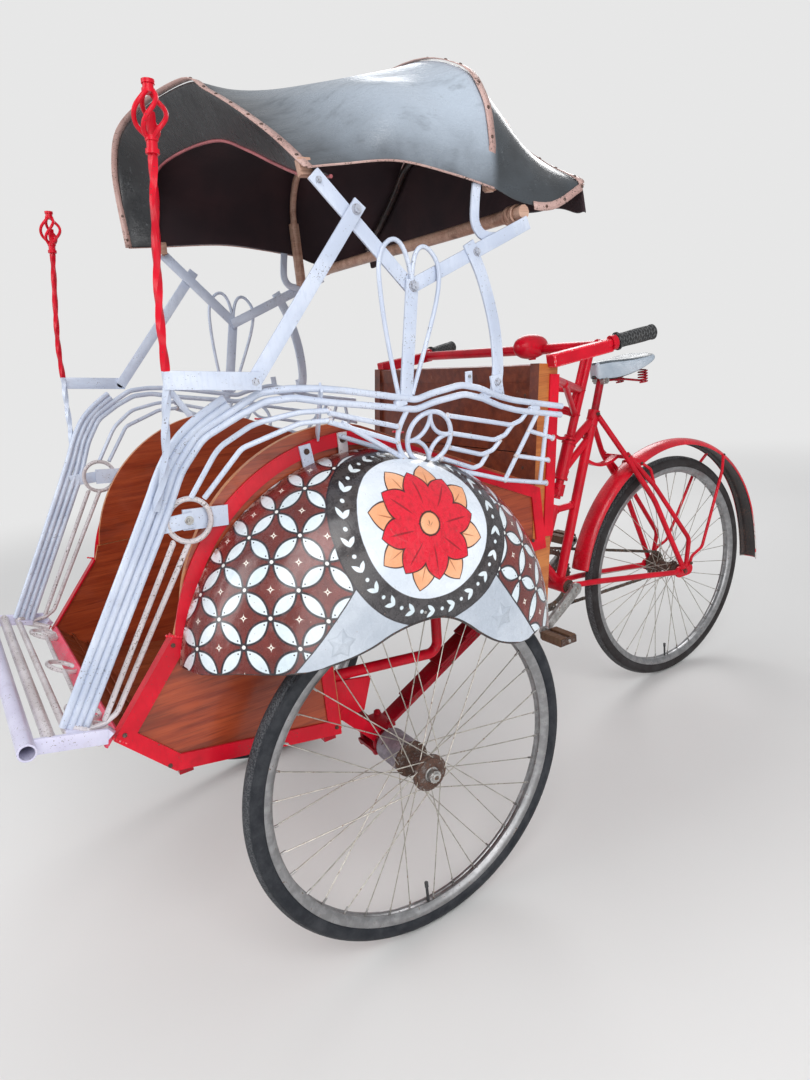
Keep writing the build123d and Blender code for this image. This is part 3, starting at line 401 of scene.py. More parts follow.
def makeFinishes():
    addFinish(enamel, "redPaint", redColour, (0.49, 0.005, 0.018), (0.10, 0.06, 0.05), (0.25, 0.010, 0.014),
              grime=0.35, coat=0.08, shine=0.18)
    # The red paint darkened as painted shade, for parts that sit under the cab and the saddle
    addFinish(enamel, "redShade", (0.42, 0.006, 0.020), (0.26, 0.004, 0.013), (0.12, 0.07, 0.05),
              (0.12, 0.02, 0.015), chips=0.64, coat=0.05, shine=0.18)
    addFinish(enamel, "pinkPaint", (0.86, 0.09, 0.17), (0.74, 0.045, 0.10), (0.5, 0.42, 0.4),
              (0.55, 0.2, 0.2), chips=0.62, coat=0.10, shine=0.22)
    addFinish(enamel, "palePaint", paleColour, (0.50, 0.56, 0.69), (0.16, 0.15, 0.16), (0.40, 0.40, 0.45),
              strokes=0.55, grime=0.4)
    addFinish(enamel, "creamPaint", (0.66, 0.62, 0.64), (0.50, 0.45, 0.46), (0.14, 0.09, 0.07),
              (0.40, 0.31, 0.28), chips=0.64, grime=0.55)
    addFinish(enamel, "lavenderPaint", (0.66, 0.65, 0.80), (0.57, 0.55, 0.71), (0.20, 0.16, 0.16),
              (0.42, 0.36, 0.38), grime=0.35)
    alongX, alongY, upright = (0, 0.03, 0), (0, 0, math.pi / 2), (0, math.pi / 2 - 0.12, 0)
    addFinish(wood, "boardWood", (0.052, 0.010, 0.006), (0.25, 0.034, 0.011), (0.38, 0.066, 0.020), alongX)
    addFinish(wood, "legWood", (0.050, 0.012, 0.006), (0.23, 0.042, 0.013), (0.36, 0.085, 0.024),
              (0, -0.10, 0), 0.75)
    addFinish(wood, "crossWood", (0.040, 0.010, 0.007), (0.20, 0.040, 0.014), (0.30, 0.075, 0.028),
              alongY, 0.6, 0.35, 0.5)
    addFinish(wood, "orangeWood", (0.16, 0.035, 0.010), (0.40, 0.11, 0.025), (0.52, 0.18, 0.045),
              upright, 0.4, 0.3, 0.2)
    addFinish(wood, "bowWood", (0.13, 0.055, 0.035), (0.40, 0.22, 0.16), (0.56, 0.36, 0.27),
              alongY, 0.55, 0.0, 0.3)
    for name, bright, dull, rust, *more in [
        ("chrome", (0.37, 0.37, 0.38), (0.26, 0.26, 0.265), (0.14, 0.08, 0.045), 0.26, 0.26),
        ("spokeSteel", (0.60, 0.58, 0.52), (0.38, 0.36, 0.32), (0.20, 0.11, 0.06), 0.35, 0.35),
        ("nutSteel", (0.55, 0.55, 0.54), (0.30, 0.29, 0.28), (0.18, 0.09, 0.05), 0.4, 0.35),
        ("rustSteel", (0.30, 0.26, 0.24), (0.20, 0.17, 0.16), (0.125, 0.066, 0.048), 0.95, 0.5),
        ("drumSteel", (0.30, 0.27, 0.31), (0.19, 0.17, 0.20), (0.13, 0.075, 0.06), 0.35, 0.45, 0.35),
        ("chainSteel", (0.20, 0.18, 0.16), (0.10, 0.09, 0.08), (0.13, 0.06, 0.03), 0.6, 0.4),
    ]:
        addFinish(metal, name, bright, dull, rust, *more)
    addFinish(rubber, "gripRubber", (0.028, 0.029, 0.032), (0.20, 0.20, 0.20), 0.45)
    addFinish(rubber, "pedalRubber", (0.12, 0.055, 0.03), (0.26, 0.19, 0.13), 0.5)


# Shape tools
def piece(name, bm, body, finish, replaces=(), sharp=35, slot=None):
    return dress(name, meshOf(name, bm), body, finish, replaces, sharp)


def dress(name, mesh, body, finish, replaces=(), sharp=35):
    mesh.shade_smooth()
    mesh.set_sharp_from_angle(angle=math.radians(sharp))
    obj = linked(name, mesh)
    if mesh.materials:
        mesh.materials.clear()
    for key in [finish] if isinstance(finish, str) else finish:
        mesh.materials.append(finishes[key])
    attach(obj, body)
    if replaces:
        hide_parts(*replaces)
    return obj


def thicken(obj, wall, offset=-1, inner=0):
    thick = obj.modifiers.new("thickness", "SOLIDIFY")
    thick.thickness = wall / 1000
    thick.offset = offset
    thick.material_offset = inner


def smoothed(obj, levels=1):
    smooth = obj.modifiers.new("smooth", "SUBSURF")
    smooth.levels = smooth.render_levels = levels


def ease(obj, width, segments, angle, worn=-1):
    # A live bevel that rounds sharp edges off, in the finish number worn; on the red parts that finish is a
    # paler red, a painted highlight along the edges together with wear
    bevel = obj.modifiers.new("ease", "BEVEL")
    bevel.width = width / 1000
    bevel.segments = segments
    bevel.angle_limit = math.radians(angle)
    bevel.material = worn
    return bevel


def squareTo(along):
    # A direction at right angles to along
    return along.cross(Vector((0.3, 1, 0.1)) if abs(along.y) < 0.9 else Vector((1, 0, 0))).normalized()


def heading(line, i):
    # Direction of a line of spots at its spot number i
    return (line[min(i + 1, len(line) - 1)] - line[max(i - 1, 0)]).normalized()


def mirrored(half):
    # A profile and its mirror image past its last point
    return half + [(-across, reach) for across, reach in half[-2::-1]]


def bent(points, reach):
    # A point each side of a corner keeps the runs straight between short bends
    route = [points[0]]
    for before, here, after in zip(points, points[1:], points[2:]):
        back, on = before - here, after - here
        route += [here + back * min(reach / back.length, 0.45), here,
                  here + on * min(reach / on.length, 0.45)]
    return route + [points[-1]]


def rods(name, runs, body, finish, replaces=(), corners=3, caps=True):
    # Each run: points, diameter in millimetres, and how far its bends reach
    curve = bpy.data.curves.new(name, "CURVE")
    curve.dimensions = "3D"
    curve.bevel_depth = 0.001
    curve.bevel_resolution = corners
    curve.resolution_u = 5
    curve.use_fill_caps = caps
    for points, size, reach in runs:
        closed = reach == "closed"
        route = bent(points, reach / 1000) if reach and not closed and len(points) > 2 else points
        spline = curve.splines.new("NURBS" if len(route) > 2 else "POLY")
        spline.points.add(len(route) - 1)
        for knot, spot in zip(spline.points, route):
            knot.co = (*spot, 1)
            knot.radius = size / 2
        spline.use_cyclic_u = closed
        spline.use_endpoint_u = not closed
        spline.order_u = 3
    holder = bpy.data.objects.new(name, curve)
    mesh = bpy.data.meshes.new_from_object(holder)
    bpy.data.objects.remove(holder)
    bpy.data.curves.remove(curve)
    return dress(name, mesh, body, finish, replaces, 50)


def circle(centre, radius, normal, count=16):
    # Points round a ring whose cage is a little outside the ring itself
    normal = Vector(normal).normalized()
    first = squareTo(normal)
    second = normal.cross(first)
    cage = radius / 1000 / math.cos(math.pi / count) ** 0.9
    return [centre + first * cage * math.cos(2 * math.pi * i / count)
            + second * cage * math.sin(2 * math.pi * i / count) for i in range(count)]


def addBar(bm, start, end, width, wall, face=(0, 1, 0)):
    # A flat bar from start to end whose broad side looks along face
    along = end - start
    edge = along.cross(Vector(face)).normalized()
    flat = along.cross(edge).normalized()
    turn = Matrix((edge * width / 1000, flat * wall / 1000, along)).transposed().to_4x4()
    turn.translation = (start + end) / 2
    return bmesh.ops.create_cube(bm, size=1, matrix=turn)["verts"]


def addPlate(bm, outline, wall, side=(0, 1, 0)):
    # A flat outline given its thickness towards side
    face = bm.faces.new([bm.verts.new(spot) for spot in outline])
    grown = bmesh.ops.extrude_face_region(bm, geom=[face])["geom"]
    bmesh.ops.translate(bm, verts=[g for g in grown if isinstance(g, bmesh.types.BMVert)],
                        vec=Vector(side) * wall / 1000)
    bmesh.ops.recalc_face_normals(bm, faces=bm.faces)


def addStrap(bm, points, width, wall, side=(0, 1, 0)):
    # A flat bar bent in the side view along smooth points
    left, right = [], []
    for i, here in enumerate(points):
        across = heading(points, i).cross(Vector((0, 1, 0))).normalized() * width / 2000
        left.append(here + across)
        right.append(here - across)
    addPlate(bm, left + right[::-1], wall, side)


def smoothLine(points, steps=6):
    # Spots along a smooth curve through the points
    line = []
    ends = [points[0] * 2 - points[1], *points, points[-1] * 2 - points[-2]]
    for a, b, c, d in zip(ends, ends[1:], ends[2:], ends[3:]):
        for i in range(steps):
            t = i / steps
            line.append(0.5 * (2 * b + (c - a) * t + (2 * a - 5 * b + 4 * c - d) * t * t
                               + (3 * b - a - 3 * c + d) * t ** 3))
    return line + [points[-1]]


def softenEdges(bm, width, segments=2):
    bmesh.ops.bevel(bm, geom=bm.edges[:], offset=width / 1000, segments=segments, profile=0.5, affect="EDGES",
                    clamp_overlap=True, material=-1)


def addPin(bm, matrix, radius, length, sides=16, taper=1.0):
    # A round or many-sided pin round the Z of its matrix
    bmesh.ops.create_cone(bm, cap_ends=True, segments=sides, radius1=radius / 1000,
                          radius2=radius * taper / 1000, depth=length / 1000, matrix=matrix)


def addBead(bm, spot, radius, turn=Matrix(), segments=10):
    # A round drop, such as of weld, or a nail's head
    bmesh.ops.create_uvsphere(bm, u_segments=segments, v_segments=6, radius=radius,
                              matrix=Matrix.Translation(spot) @ turn)


def addBolt(bm, centre, direction, size, height, washer=1.7):
    # Hexagon head on a washer, with the bolt's end standing out of it
    turn = Vector(direction).to_track_quat("Z", "Y").to_matrix().to_4x4()
    for radius, low, high, sides in [(size / 2 * washer, 0, height * 0.25, 20),
                                     (size / 2 * 1.15, 0.2, height, 6),
                                     (size * 0.24, height, height * 1.35, 12)]:
        middle = Matrix.Translation(centre) @ turn @ Matrix.Translation((0, 0, (low + high) / 2000))
        addPin(bm, middle, radius, high - low, sides, 0.93)


def addRays(bm, centre, count, near, far, width, wall):
    # Flat bars that stand out all round an axle, such as teeth
    for i in range(count):
        turn = 2 * math.pi * i / count
        out = Vector((math.cos(turn), 0, math.sin(turn))) / 1000
        addBar(bm, centre + out * near, centre + out * far, width, wall)


def spun(bm, profile, centre, steps, closed=True, axis=(0, 1, 0), start=(0, 0, 1)):
    # A profile of (along the axis, radius) turned right round
    along, out = Vector(axis), Vector(start)
    ring = [bm.verts.new(centre + along * a / 1000 + out * r / 1000) for a, r in profile]
    pairs = list(zip(ring, ring[1:])) + ([(ring[-1], ring[0])] if closed else [])
    geom = ring + [bm.edges.new(pair) for pair in pairs]
    bmesh.ops.spin(bm, geom=geom, cent=centre, axis=along, angle=2 * math.pi, steps=steps, use_merge=True)
    bmesh.ops.remove_doubles(bm, verts=bm.verts, dist=0.00006)
    bmesh.ops.recalc_face_normals(bm, faces=bm.faces)


def turned(name, profile, centre, steps, *given):
    # A piece that is one spun profile
    bm = bmesh.new()
    spun(bm, profile, centre, steps)
    return piece(name, bm, *given)


def skin(bm, rings):
    # A closed skin over rings of spots, with flat ends
    loops = []
    for spots in rings:
        ring = [bm.verts.new(spot) for spot in spots]
        loops.append([bm.edges.new(pair) for pair in zip(ring, ring[1:] + ring[:1])])
    for near, far in zip(loops, loops[1:]):
        bmesh.ops.bridge_loops(bm, edges=near + far)
    bmesh.ops.holes_fill(bm, edges=loops[0] + loops[-1], sides=len(rings[0]))
    bmesh.ops.recalc_face_normals(bm, faces=bm.faces)


def draped(rows, outward):
    # One sheet of faces through rows of spots, with its outer side towards outward
    bm = bmesh.new()
    bmesh.ops.create_grid(bm, x_segments=len(rows[0]) - 1, y_segments=len(rows) - 1, size=1)
    bm.verts.ensure_lookup_table()
    for r, row in enumerate(rows):
        for c, spot in enumerate(row):
            bm.verts[r * len(row) + c].co = spot
    bmesh.ops.recalc_face_normals(bm, faces=bm.faces)
    if sum(face.normal.dot(outward) for face in bm.faces) < 0:
        bmesh.ops.reverse_faces(bm, faces=bm.faces)
    return bm


def softened(node, width, finish, segments=2, pick=None, worn=None):
    # A CAD node's solid again, with its edges eased so that they catch the light. pick chooses a finish
    # for each face by its middle in millimetres and its normal, and worn is the finish of the eased edges,
    # which on the red bands is a paler red: painted highlight with wear.
    bm = bmesh.new()
    bm.from_mesh(frame["nodes"][node].data)
    bmesh.ops.remove_doubles(bm, verts=bm.verts, dist=0.00003)
    bmesh.ops.dissolve_limit(bm, angle_limit=math.radians(0.6), verts=bm.verts, edges=bm.edges)
    bm.normal_update()
    if pick:
        for face in bm.faces:
            middle = face.calc_center_median() * 1000
            face.material_index = pick(middle.x - axleX, middle.y, middle.z, face.normal)
    chosen = [finish] if isinstance(finish, str) else list(finish)
    body = body_of(frame["nodes"][node])[0]
    obj = piece(node + "_eased", bm, body, chosen + ([worn] if worn else []), [node])
    ease(obj, width, segments, 32, len(chosen) if worn else -1).harden_normals = True


makeCamera(cameraValues)
makeLamps(lampValues)
makeFloor(floorValues)
makeFinishes()
print("stage and finishes are ready")

# Wheels
wheelValues = {
    # name: body, X, Y, flanges (inner, outer, radius), rubber colour, dust
    "front_left": ("front_left_wheel", 0, 430, (-24, 36, 36), (0.010, 0.012, 0.017), 0.25),
    "front_right": ("front_right_wheel", 0, -430, (-36, 24, 36), (0.010, 0.012, 0.017), 0.25),
    "rear": ("rear_wheel", -1246, 0, (-24, 24, 24), (0.016, 0.012, 0.012), 0.22),
}
wheelShape = {
    "height": 355.5,
    "spokes": 36,
    "spokeSize": 2.2,
    # Half of the tyre's and of the rim's section, and the rim's inner bead
    "tyre": [(-11.5, 321.6), (-15.5, 323.5), (-18.2, 329), (-19, 336), (-17.6, 343.5), (-14, 349),
             (-9, 352.8), (-4, 354.9), (0, 355.4)],
    "rim": [(-8.6, 305), (-11.5, 308.5), (-14.6, 314), (-15.5, 319), (-15.5, 322.8), (-14.9, 323.5),
            (-14.1, 322.8), (-13.6, 321), (-9, 317.5), (0, 315.5)],
    "rimBead": [(4, 305.6), (2.5, 307), (-2.5, 307), (-4, 305.6)],
    "valve": [(-306, -275, 6), (-275.2, -264, 8)],    # from, to, thickness
    "rearHub": [(-51.5, 5.2), (-51.5, 34), (-48.5, 34), (-48.5, 17), (-28, 17), (-28, 24), (-24, 24),
                (-23, 17), (-8, 15.5), (8, 15.5), (23, 17), (24, 24), (28, 24), (28, 15), (44, 15),
                (44, 5.2)],
    "sprocket": (-50, 18, 32.5, 37.2, 4.5, 2.4),    # Y, teeth, their foot, tip, width and wall
    "barrel": [(-30, 9), (-30, 27), (-28, 36), (-24, 36), (-23, 33), (-20, 19.5), (32, 19.5), (35, 33),
               (36, 36), (40, 36), (41, 31), (44, 30.5), (45, 27), (46, 24), (46, 15.5), (43, 15), (43, 9)],
    "drum": [(-104.8, 9.2), (-104.8, 31), (-103.5, 34), (-98, 34.6), (-96, 34), (-60, 34.4), (-56, 34),
             (-38, 34.6), (-33, 33.4), (-31, 30), (-30.2, 9.2)],
}


def spokePaths(x, y, inner, outer, flangeRadius):
    # Four to a group, laced to both flanges and leaning both ways, with their heads hooked through
    step = 2 * math.pi / (wheelShape["spokes"] // 4)
    centre = place(x, y, wheelShape["height"])
    hookReach = flangeRadius - 5

    def spot(across, reach, turn):
        return centre + Vector((reach * math.cos(turn), across, reach * math.sin(turn))) / 1000

    for group in range(wheelShape["spokes"] // 4):
        for flange, side, head, lean, phase in [(inner - 2, -1, -2.6, 1, 0), (inner - 2, -1, 2.6, -1, 0.5),
                                                (outer + 2, 1, 2.6, 1, 0.25), (outer + 2, 1, -2.6, -1, 0.75)]:
            rimTurn = step * (group + phase)
            hubTurn = rimTurn + lean * (step + 0.31)
            rimAcross = side * 3 + head / 2
            yield (spot(flange - head, hookReach, hubTurn), spot(flange + head, hookReach, hubTurn),
                   spot(rimAcross, 304, rimTurn), spot(rimAcross, 293, rimTurn))


def makeWheel(name, body, x, y, flanges, colour, dusting):
    centre = place(x, y, wheelShape["height"])
    addFinish(rubber, name + "_rubber", colour, (0.15, 0.155, 0.165), dusting, (x, y))
    turned(name + "_tyre_round", mirrored(wheelShape["tyre"]), centre, 144, body, name + "_rubber",
           [name + "_tyre"], 60, "tyre_rubber")
    rim = mirrored(wheelShape["rim"]) + wheelShape["rimBead"]
    turned(name + "_rim_round", rim, centre, 144, body, "chrome", [name + "_rim"], 38)
    wires, nipples = [], []
    for head, flange, rimEnd, nippleEnd in spokePaths(x, y, *flanges):
        wires.append(([head, flange, rimEnd], wheelShape["spokeSize"], 3))
        nipples.append(([nippleEnd, rimEnd + (rimEnd - nippleEnd) * 0.35], 4.2, None))
    rods(name + "_spoke_wires", wires, body, "spokeSteel", [name + "_spokes"], 1)
    rods(name + "_nipples", nipples, body, "nutSteel", (), 1)
    valve = [([centre + Vector((0.012, 0, z / 1000)) for z in (low, high)], size, None)
             for low, high, size in wheelShape["valve"]]
    rods(name + "_valve", valve, body, "gripRubber")
    if name == "rear":
        bm = bmesh.new()
        spun(bm, wheelShape["rearHub"], centre, 48)
        across, *teeth = wheelShape["sprocket"]
        addRays(bm, centre + Vector((0, across / 1000, 0)), *teeth)
        piece(name + "_hub_turned", bm, body, "rustSteel", [name + "_hub"], 38)
        return
    # Rusty flanged barrel, with a scratched drum inboard of it
    side = 1 if y > 0 else -1
    for part, finish, replaces in [("barrel", "rustSteel", [name + "_hub"]), ("drum", "drumSteel", ())]:
        profile = [(side * a, r) for a, r in wheelShape[part]]
        turned(name + "_hub_" + part, profile, centre, 48, body, finish, replaces, 38)


for name, values in wheelValues.items():
    makeWheel(name, *values)

# Axle ends: cone nut, and a bored end nut on each side
axleValues = {
    "wheelY": 430,
    "coneNut": [(43.3, 8.6), (43.3, 14.5), (45.5, 15), (47, 13), (47, 8.6)],
    "endNut": (482.8, 13.2, 11.5),    # Y, radius, length
    "hole": (488, 492.3, 9),    # from, to, size
    "steelFrom": 326,
}


def makeAxle(values):
    height = wheelShape["height"]
    bm = bmesh.new()
    for s in (1, -1):
        spun(bm, [(s * a, r) for a, r in values["coneNut"]], place(0, s * values["wheelY"], height), 32)
    nutY, radius, length = values["endNut"]
    for s in (1, -1):
        turn = Matrix.Rotation(math.pi / 2, 4, "X")
        addPin(bm, Matrix.Translation(place(0, s * nutY, height)) @ turn, radius, length, 6)
    softenEdges(bm, 0.5, 1)
    piece("axle_nuts", bm, "cab", "nutSteel", (), 30)
    start, end, size = values["hole"]
    holes = [([place(0, s * start, height), place(0, s * end, height)], size, None) for s in (1, -1)]
    rods("axle_hole", holes, "cab", "chainSteel")
    # The axle beam takes the red in painted shade, its ends bare steel
    softened("front_axle", 1.2, ["redShade", "nutSteel"],
             pick=lambda x, y, z, normal: int(abs(y) > values["steelFrom"]))


makeAxle(axleValues)
print("wheels and axle are made")

# Side railing
railValues = {
    "rod": 9,
    "bundleRod": 12.4,
    "bundlePitch": 11.3,
    "bundle": [(564, -7, 612), (386, 23, 924), (353, 38, 995), (313, 57, 1047), (257, 78, 1076)],
    "tops": [
        [(212, 84, 1092), (165, 90, 1093), (113, 96, 1087), (63, 100, 1077), (-12, 99, 1059),
         (-67, 96, 1046), (-100, 98, 1053), (-163, 99, 1060), (-203, 97, 1050), (-251, 93, 1029),
         (-291, 89, 1016), (-418, 83, 988)],
        [(204, 85, 1078), (157, 91, 1078), (103, 96, 1064), (-20, 95, 1039), (-67, 92, 1029),
         (-105, 94, 1037), (-171, 96, 1043), (-213, 93, 1030), (-257, 88, 1010), (-303, 85, 995),
         (-418, 79, 971)],
    ],
    # Rods in the leaning plane of the railing's rear part: X, Z
    "leaf": [(-49, 1031), (-33, 1005), (-29, 978), (-44, 945), (-66, 931), (-95, 924)],
    "wings": [
        [(-135, 1009), (-290, 969), (-313, 975), (-328, 991)],
        [(-146, 975), (-250, 946), (-276, 952), (-291, 968)],
        [(-143, 949), (-222, 922), (-248, 927), (-263, 942)],
        [(-126, 932), (-203, 899), (-221, 902), (-233, 919)],
    ],
    "ladder": [[(-355, 984), (-285, 860)], [(-381, 976), (-381, 837)], [(-336, 951), (-403, 926)],
               [(-309, 905), (-397, 881)]],
    "inner": [
        [(518, -5, 610), (365, 15, 873)],
        [(552, -7, 603), (520, -5, 604), (497, -5, 616), (340, 15, 869)],
        [(325, 19, 941), (274, 35, 1013), (220, 65, 1045), (148, 85, 1054), (100, 94, 1050)],
        [(304, 19, 936), (242, 55, 1009), (148, 80, 1036), (100, 91, 1034)],
        [(103, 96, 1047), (-31, 87, 1004)],
        [(103, 93, 1032), (-30, 81, 978)],
        [(79, 92, 1027), (-42, 74, 947)],
        [(44, 6, 996), (-101, 69, 925), (-285, 54, 860), (-398, 48, 832)],
    ],
    "bundleRing": ((333, 16, 905), 35),
    "flower": ((-98, 975), 47),
    # Each arc of the flower in shares of its ring's radius: middle, radius, and from and to in degrees
    "petal": (0.8867, 0.8939, -82.7, -187.3),
    "spacers": [(-35, 96, 1045), (-221, 92, 1034), (-345, 84, 994)],
    # Flat bars: start, end, width, wall and face
    "flats": [((113, 101, 1089), (85, 4, 1000), 20, 4, (1, 0, 0.3)),
              ((-180, 99, 1052), (-180, 102, 1082), 15, 3),
              ((398, 19.5, 905), (326, 15.9, 905), 25, 4)],
    "bolts": [((334, 18, 905), 9, 6), ((-180, 103.5, 1073), 5, 2.5, 1.2)],    # place, size, height, washer
}


def shifted(points, distance):
    # The same side-view route moved to the right of its direction
    moved = []
    for i, (x, out, z) in enumerate(points):
        before, after = points[max(i - 1, 0)], points[min(i + 1, len(points) - 1)]
        dx, dz = after[0] - before[0], after[2] - before[2]
        length = math.hypot(dx, dz)
        moved.append((x + dz / length * distance, out, z - dx / length * distance))
    return moved


def makeRail(values, side, end):
    def leaning(x, z):
        return outboard(x, 55 + 0.227 * (z - 864), z, side)

    def all3(points):
        return [outboard(*point, side) for point in points]

    bundle = []
    for number in range(4):
        route = shifted(values["bundle"], (1.5 - number) * values["bundlePitch"])
        if number > 1:
            route += values["tops"][number - 2]
        bundle.append((all3(route), values["bundleRod"] if number < 2 else 11.8, 55 if number > 1 else None))
    rods("rail_bundle_" + end, bundle, "cab", "palePaint", ["rail_" + end], 3)
    flat = values["leaf"], *values["wings"], *values["ladder"]
    fine = [([leaning(x, z) for x, z in run], values["rod"], None if len(run) > 4 else 22) for run in flat]
    fine += [(all3(run), values["rod"], 80 if len(run) > 4 else 18) for run in values["inner"][2:]]
    (fx, fz), radius = values["flower"]
    centre = leaning(fx, fz)
    up = leaning(fx, fz + 1000) - centre
    normal = Vector((1, 0, 0)).cross(up)
    fine.append((circle(centre, radius, normal), values["rod"], "closed"))
    middle, bend, first, last = values["petal"]
    for quarter in range(4):
        # An arc that curves in from the ring and back out to it
        petal = []
        for i in range(9):
            turn = math.radians(first + (last - first) * i / 8)
            spot = Vector((middle + bend * math.cos(turn), middle + bend * math.sin(turn)))
            spot.rotate(Matrix.Rotation(quarter * math.pi / 2, 2))
            petal.append(centre + (Vector((1, 0, 0)) * spot.x + up * spot.y) * radius / 1000)
        fine.append((petal, 8, None))
    rods("rail_scrolls_" + end, fine, "cab", "palePaint", (), 3)
    lower = [(all3(run), values["rod"], 18) for run in values["inner"][:2]]
    ring, ringRadius = values["bundleRing"]
    lower.append((circle(outboard(*ring, side), ringRadius, (0, 1, 0)), values["rod"], "closed"))
    rods("rail_inner_rods_" + end, lower, "cab", "creamPaint", (), 3)
    bm = bmesh.new()
    for start, stop, *size in values["flats"]:
        addBar(bm, outboard(*start, side), outboard(*stop, side), *size)
    for x, out, z in values["spacers"]:
        addBar(bm, outboard(x - 11, out, z + 2, side), outboard(x + 11, out, z - 2, side), 12, 9)
    softenEdges(bm, 0.8)
    piece("rail_flats_" + end, bm, "cab", "palePaint")
    bm = bmesh.new()
    for spot, *size in values["bolts"]:
        addBolt(bm, outboard(*spot, side), (0, side, 0), *size)
    piece("rail_bolts_" + end, bm, "cab", "nutSteel", (), 30)
    # Weld beads where rods meet
    bm = bmesh.new()
    spots = [leaning(*run[k]) for flats in ("wings", "ladder") for run in values[flats] for k in (0, -1)]
    spots += [outboard(*run[-1], side) for run in values["inner"]]
    for spot in spots:
        turn = Matrix.Rotation(chance.uniform(0, 3), 4, "Y") @ Matrix.Diagonal((1.15, 0.85, 0.8, 1))
        addBead(bm, spot, chance.uniform(0.0052, 0.0064), turn)
    piece("rail_welds_" + end, bm, "cab", "creamPaint", (), 80)


for side, end in bothSides:
    makeRail(railValues, side, end)
print("railings are bent")

# Footrest
footrestValues = {
    "tube": (636, 625, 400, 14, 11),
    "cross": [(602, 616, 23, 20), (575, 609, 10, 13)],
    "rings": [(534, 222), (531, -31), (533, -268)],
    # Flat bars: start and end with Y outward from the side face, width and wall
    "flats": [((628, 23, 618), (521, 23, 595), 25, 8), ((524, 23, 596), (516, -8, 585), 20, 14),
              ((578, -2, 612), (548, -2, 603), 10, 46)],
}


def ringHeight(x):
    return 584.5 + 0.536 * (x - 532)


def makeFootrest(values):
    x, z, half, outer, inner = values["tube"]
    profile = [(-half, inner), (-half, outer - 0.6), (-half + 0.6, outer), (half - 0.6, outer),
               (half, outer - 0.6), (half, inner)]
    turned("footrest_tube", profile, place(x, 0, z), 40, "cab", "lavenderPaint", ["footrest"], 35)
    runs = []
    for x, z, out, size in values["cross"]:
        runs.append(([outboard(x, out, z), outboard(x, out, z, -1)], size, None))
    stops = [sideFace + 23]
    for x, y in values["rings"]:
        runs.append((circle(place(x, y, ringHeight(x)), 29, (-0.536, 0, 1)), 9, "closed"))
        stops += [y + 27, y - 27]
    stops.append(-sideFace - 23)
    for start, end in zip(stops[::2], stops[1::2]):
        runs.append(([place(536, start, ringHeight(536)), place(532, end, ringHeight(532))], 9, None))
    for s in (1, -1):
        runs.append(([place(566, s * 339, 606), place(516, s * 319, 583)], 13, None))
        runs.append((circle(place(522, s * 287, ringHeight(522)), 15, (-0.536, 0, 1), 10), 8, "closed"))
    rods("footrest_rods", runs, "cab", "creamPaint", (), 4)
    bm = bmesh.new()
    for s in (1, -1):
        for start, stop, *size in values["flats"]:
            addBar(bm, outboard(*start, s), outboard(*stop, s), *size)
    softenEdges(bm, 1.2)
    piece("footrest_flats", bm, "cab", "lavenderPaint")
    bm = bmesh.new()
    for s in (1, -1):
        for i in range(7):
            spot = place(572 - i * 4.5, s * (330 + i * 4), 616 - i * 1.5)
            addBead(bm, spot, chance.uniform(0.005, 0.007))
    piece("footrest_welds", bm, "cab", "creamPaint", (), 80)


makeFootrest(footrestValues)
print("footrest is welded")

# Flag poles
poleValues = {
    "route": [(386, 33, 935), (369, 66, 1000), (361, 88, 1070), (354, 105, 1128), (346, 109, 1235),
              (318, 105, 1425), (310, 105, 1498)],
    "size": 12,
    "twist": 34,
    "redFrom": 1139,
    "basket": (1443, 1495, 21),
}


def makePole(values, side, end):
    # A square bar twisted along the whole of its smooth route
    ends = [outboard(*point, side) for point in values["route"]]
    line = smoothLine(ends, 14)
    bm = bmesh.new()
    rings, twisted = [], 0.0
    for i, here in enumerate(line[:-6]):
        along = heading(line, i)
        twisted += (here - line[max(i - 1, 0)]).length * 1000 / values["twist"]
        first = along.cross(Vector((0, 1, 0))).normalized()
        second = along.cross(first)
        ring = []
        for corner in range(8):
            turn = twisted + corner * math.pi / 4
            reach = values["size"] / 2000 * (1.08 if corner % 2 else 0.82)
            ring.append(here + (first * math.cos(turn) + second * math.sin(turn)) * reach)
        rings.append(ring)
    skin(bm, rings)
    obj = piece("pole_bar_" + end, bm, "cab", ["palePaint", "redPaint"], ["pole_" + end], 40)
    for face in obj.data.polygons:
        face.material_index = int(face.center.z * 1000 > values["redFrom"])
    # Basket finial: twisted wires between two collars, with a knob and a rolled collar below
    low, high, radius = values["basket"]

    def axis(z):
        return outboard(318 - (z - 1425) / 9, 105, z, side)

    wires = []
    for quarter in range(4):
        wire = []
        for share, reach in [(0, 0.2), (0.14, 0.62), (0.36, 1.05), (0.62, 1.05), (0.86, 0.62), (1, 0.2)]:
            turn = math.pi / 2 * quarter + math.radians(150) * share
            z = low - 4 + share * (high - low + 8)
            wire.append(axis(z) + Vector((math.cos(turn), math.sin(turn), 0)) * reach * radius / 1000)
        wires.append((wire, 6.5, None))
    for z0, z1, size in [(low - 22, low - 16, 19), (low - 16, low - 6, 15), (low - 6, low, 18),
                         (high, high + 5, 18), (high + 5, high + 11, 15), (high + 11, 1511, 18)]:
        wires.append(([axis(z0), axis(z1)], size, None))
    rods("pole_basket_" + end, wires, "cab", "redPaint", (), 4)
    bm = bmesh.new()
    addBar(bm, outboard(358, 107, 1128, side), outboard(214, 107, 1110, side), 27, 6)
    softenEdges(bm, 1)
    piece("pole_brace_" + end, bm, "cab", "palePaint")


for side, end in bothSides:
    makePole(poleValues, side, end)
print("flag poles are twisted")

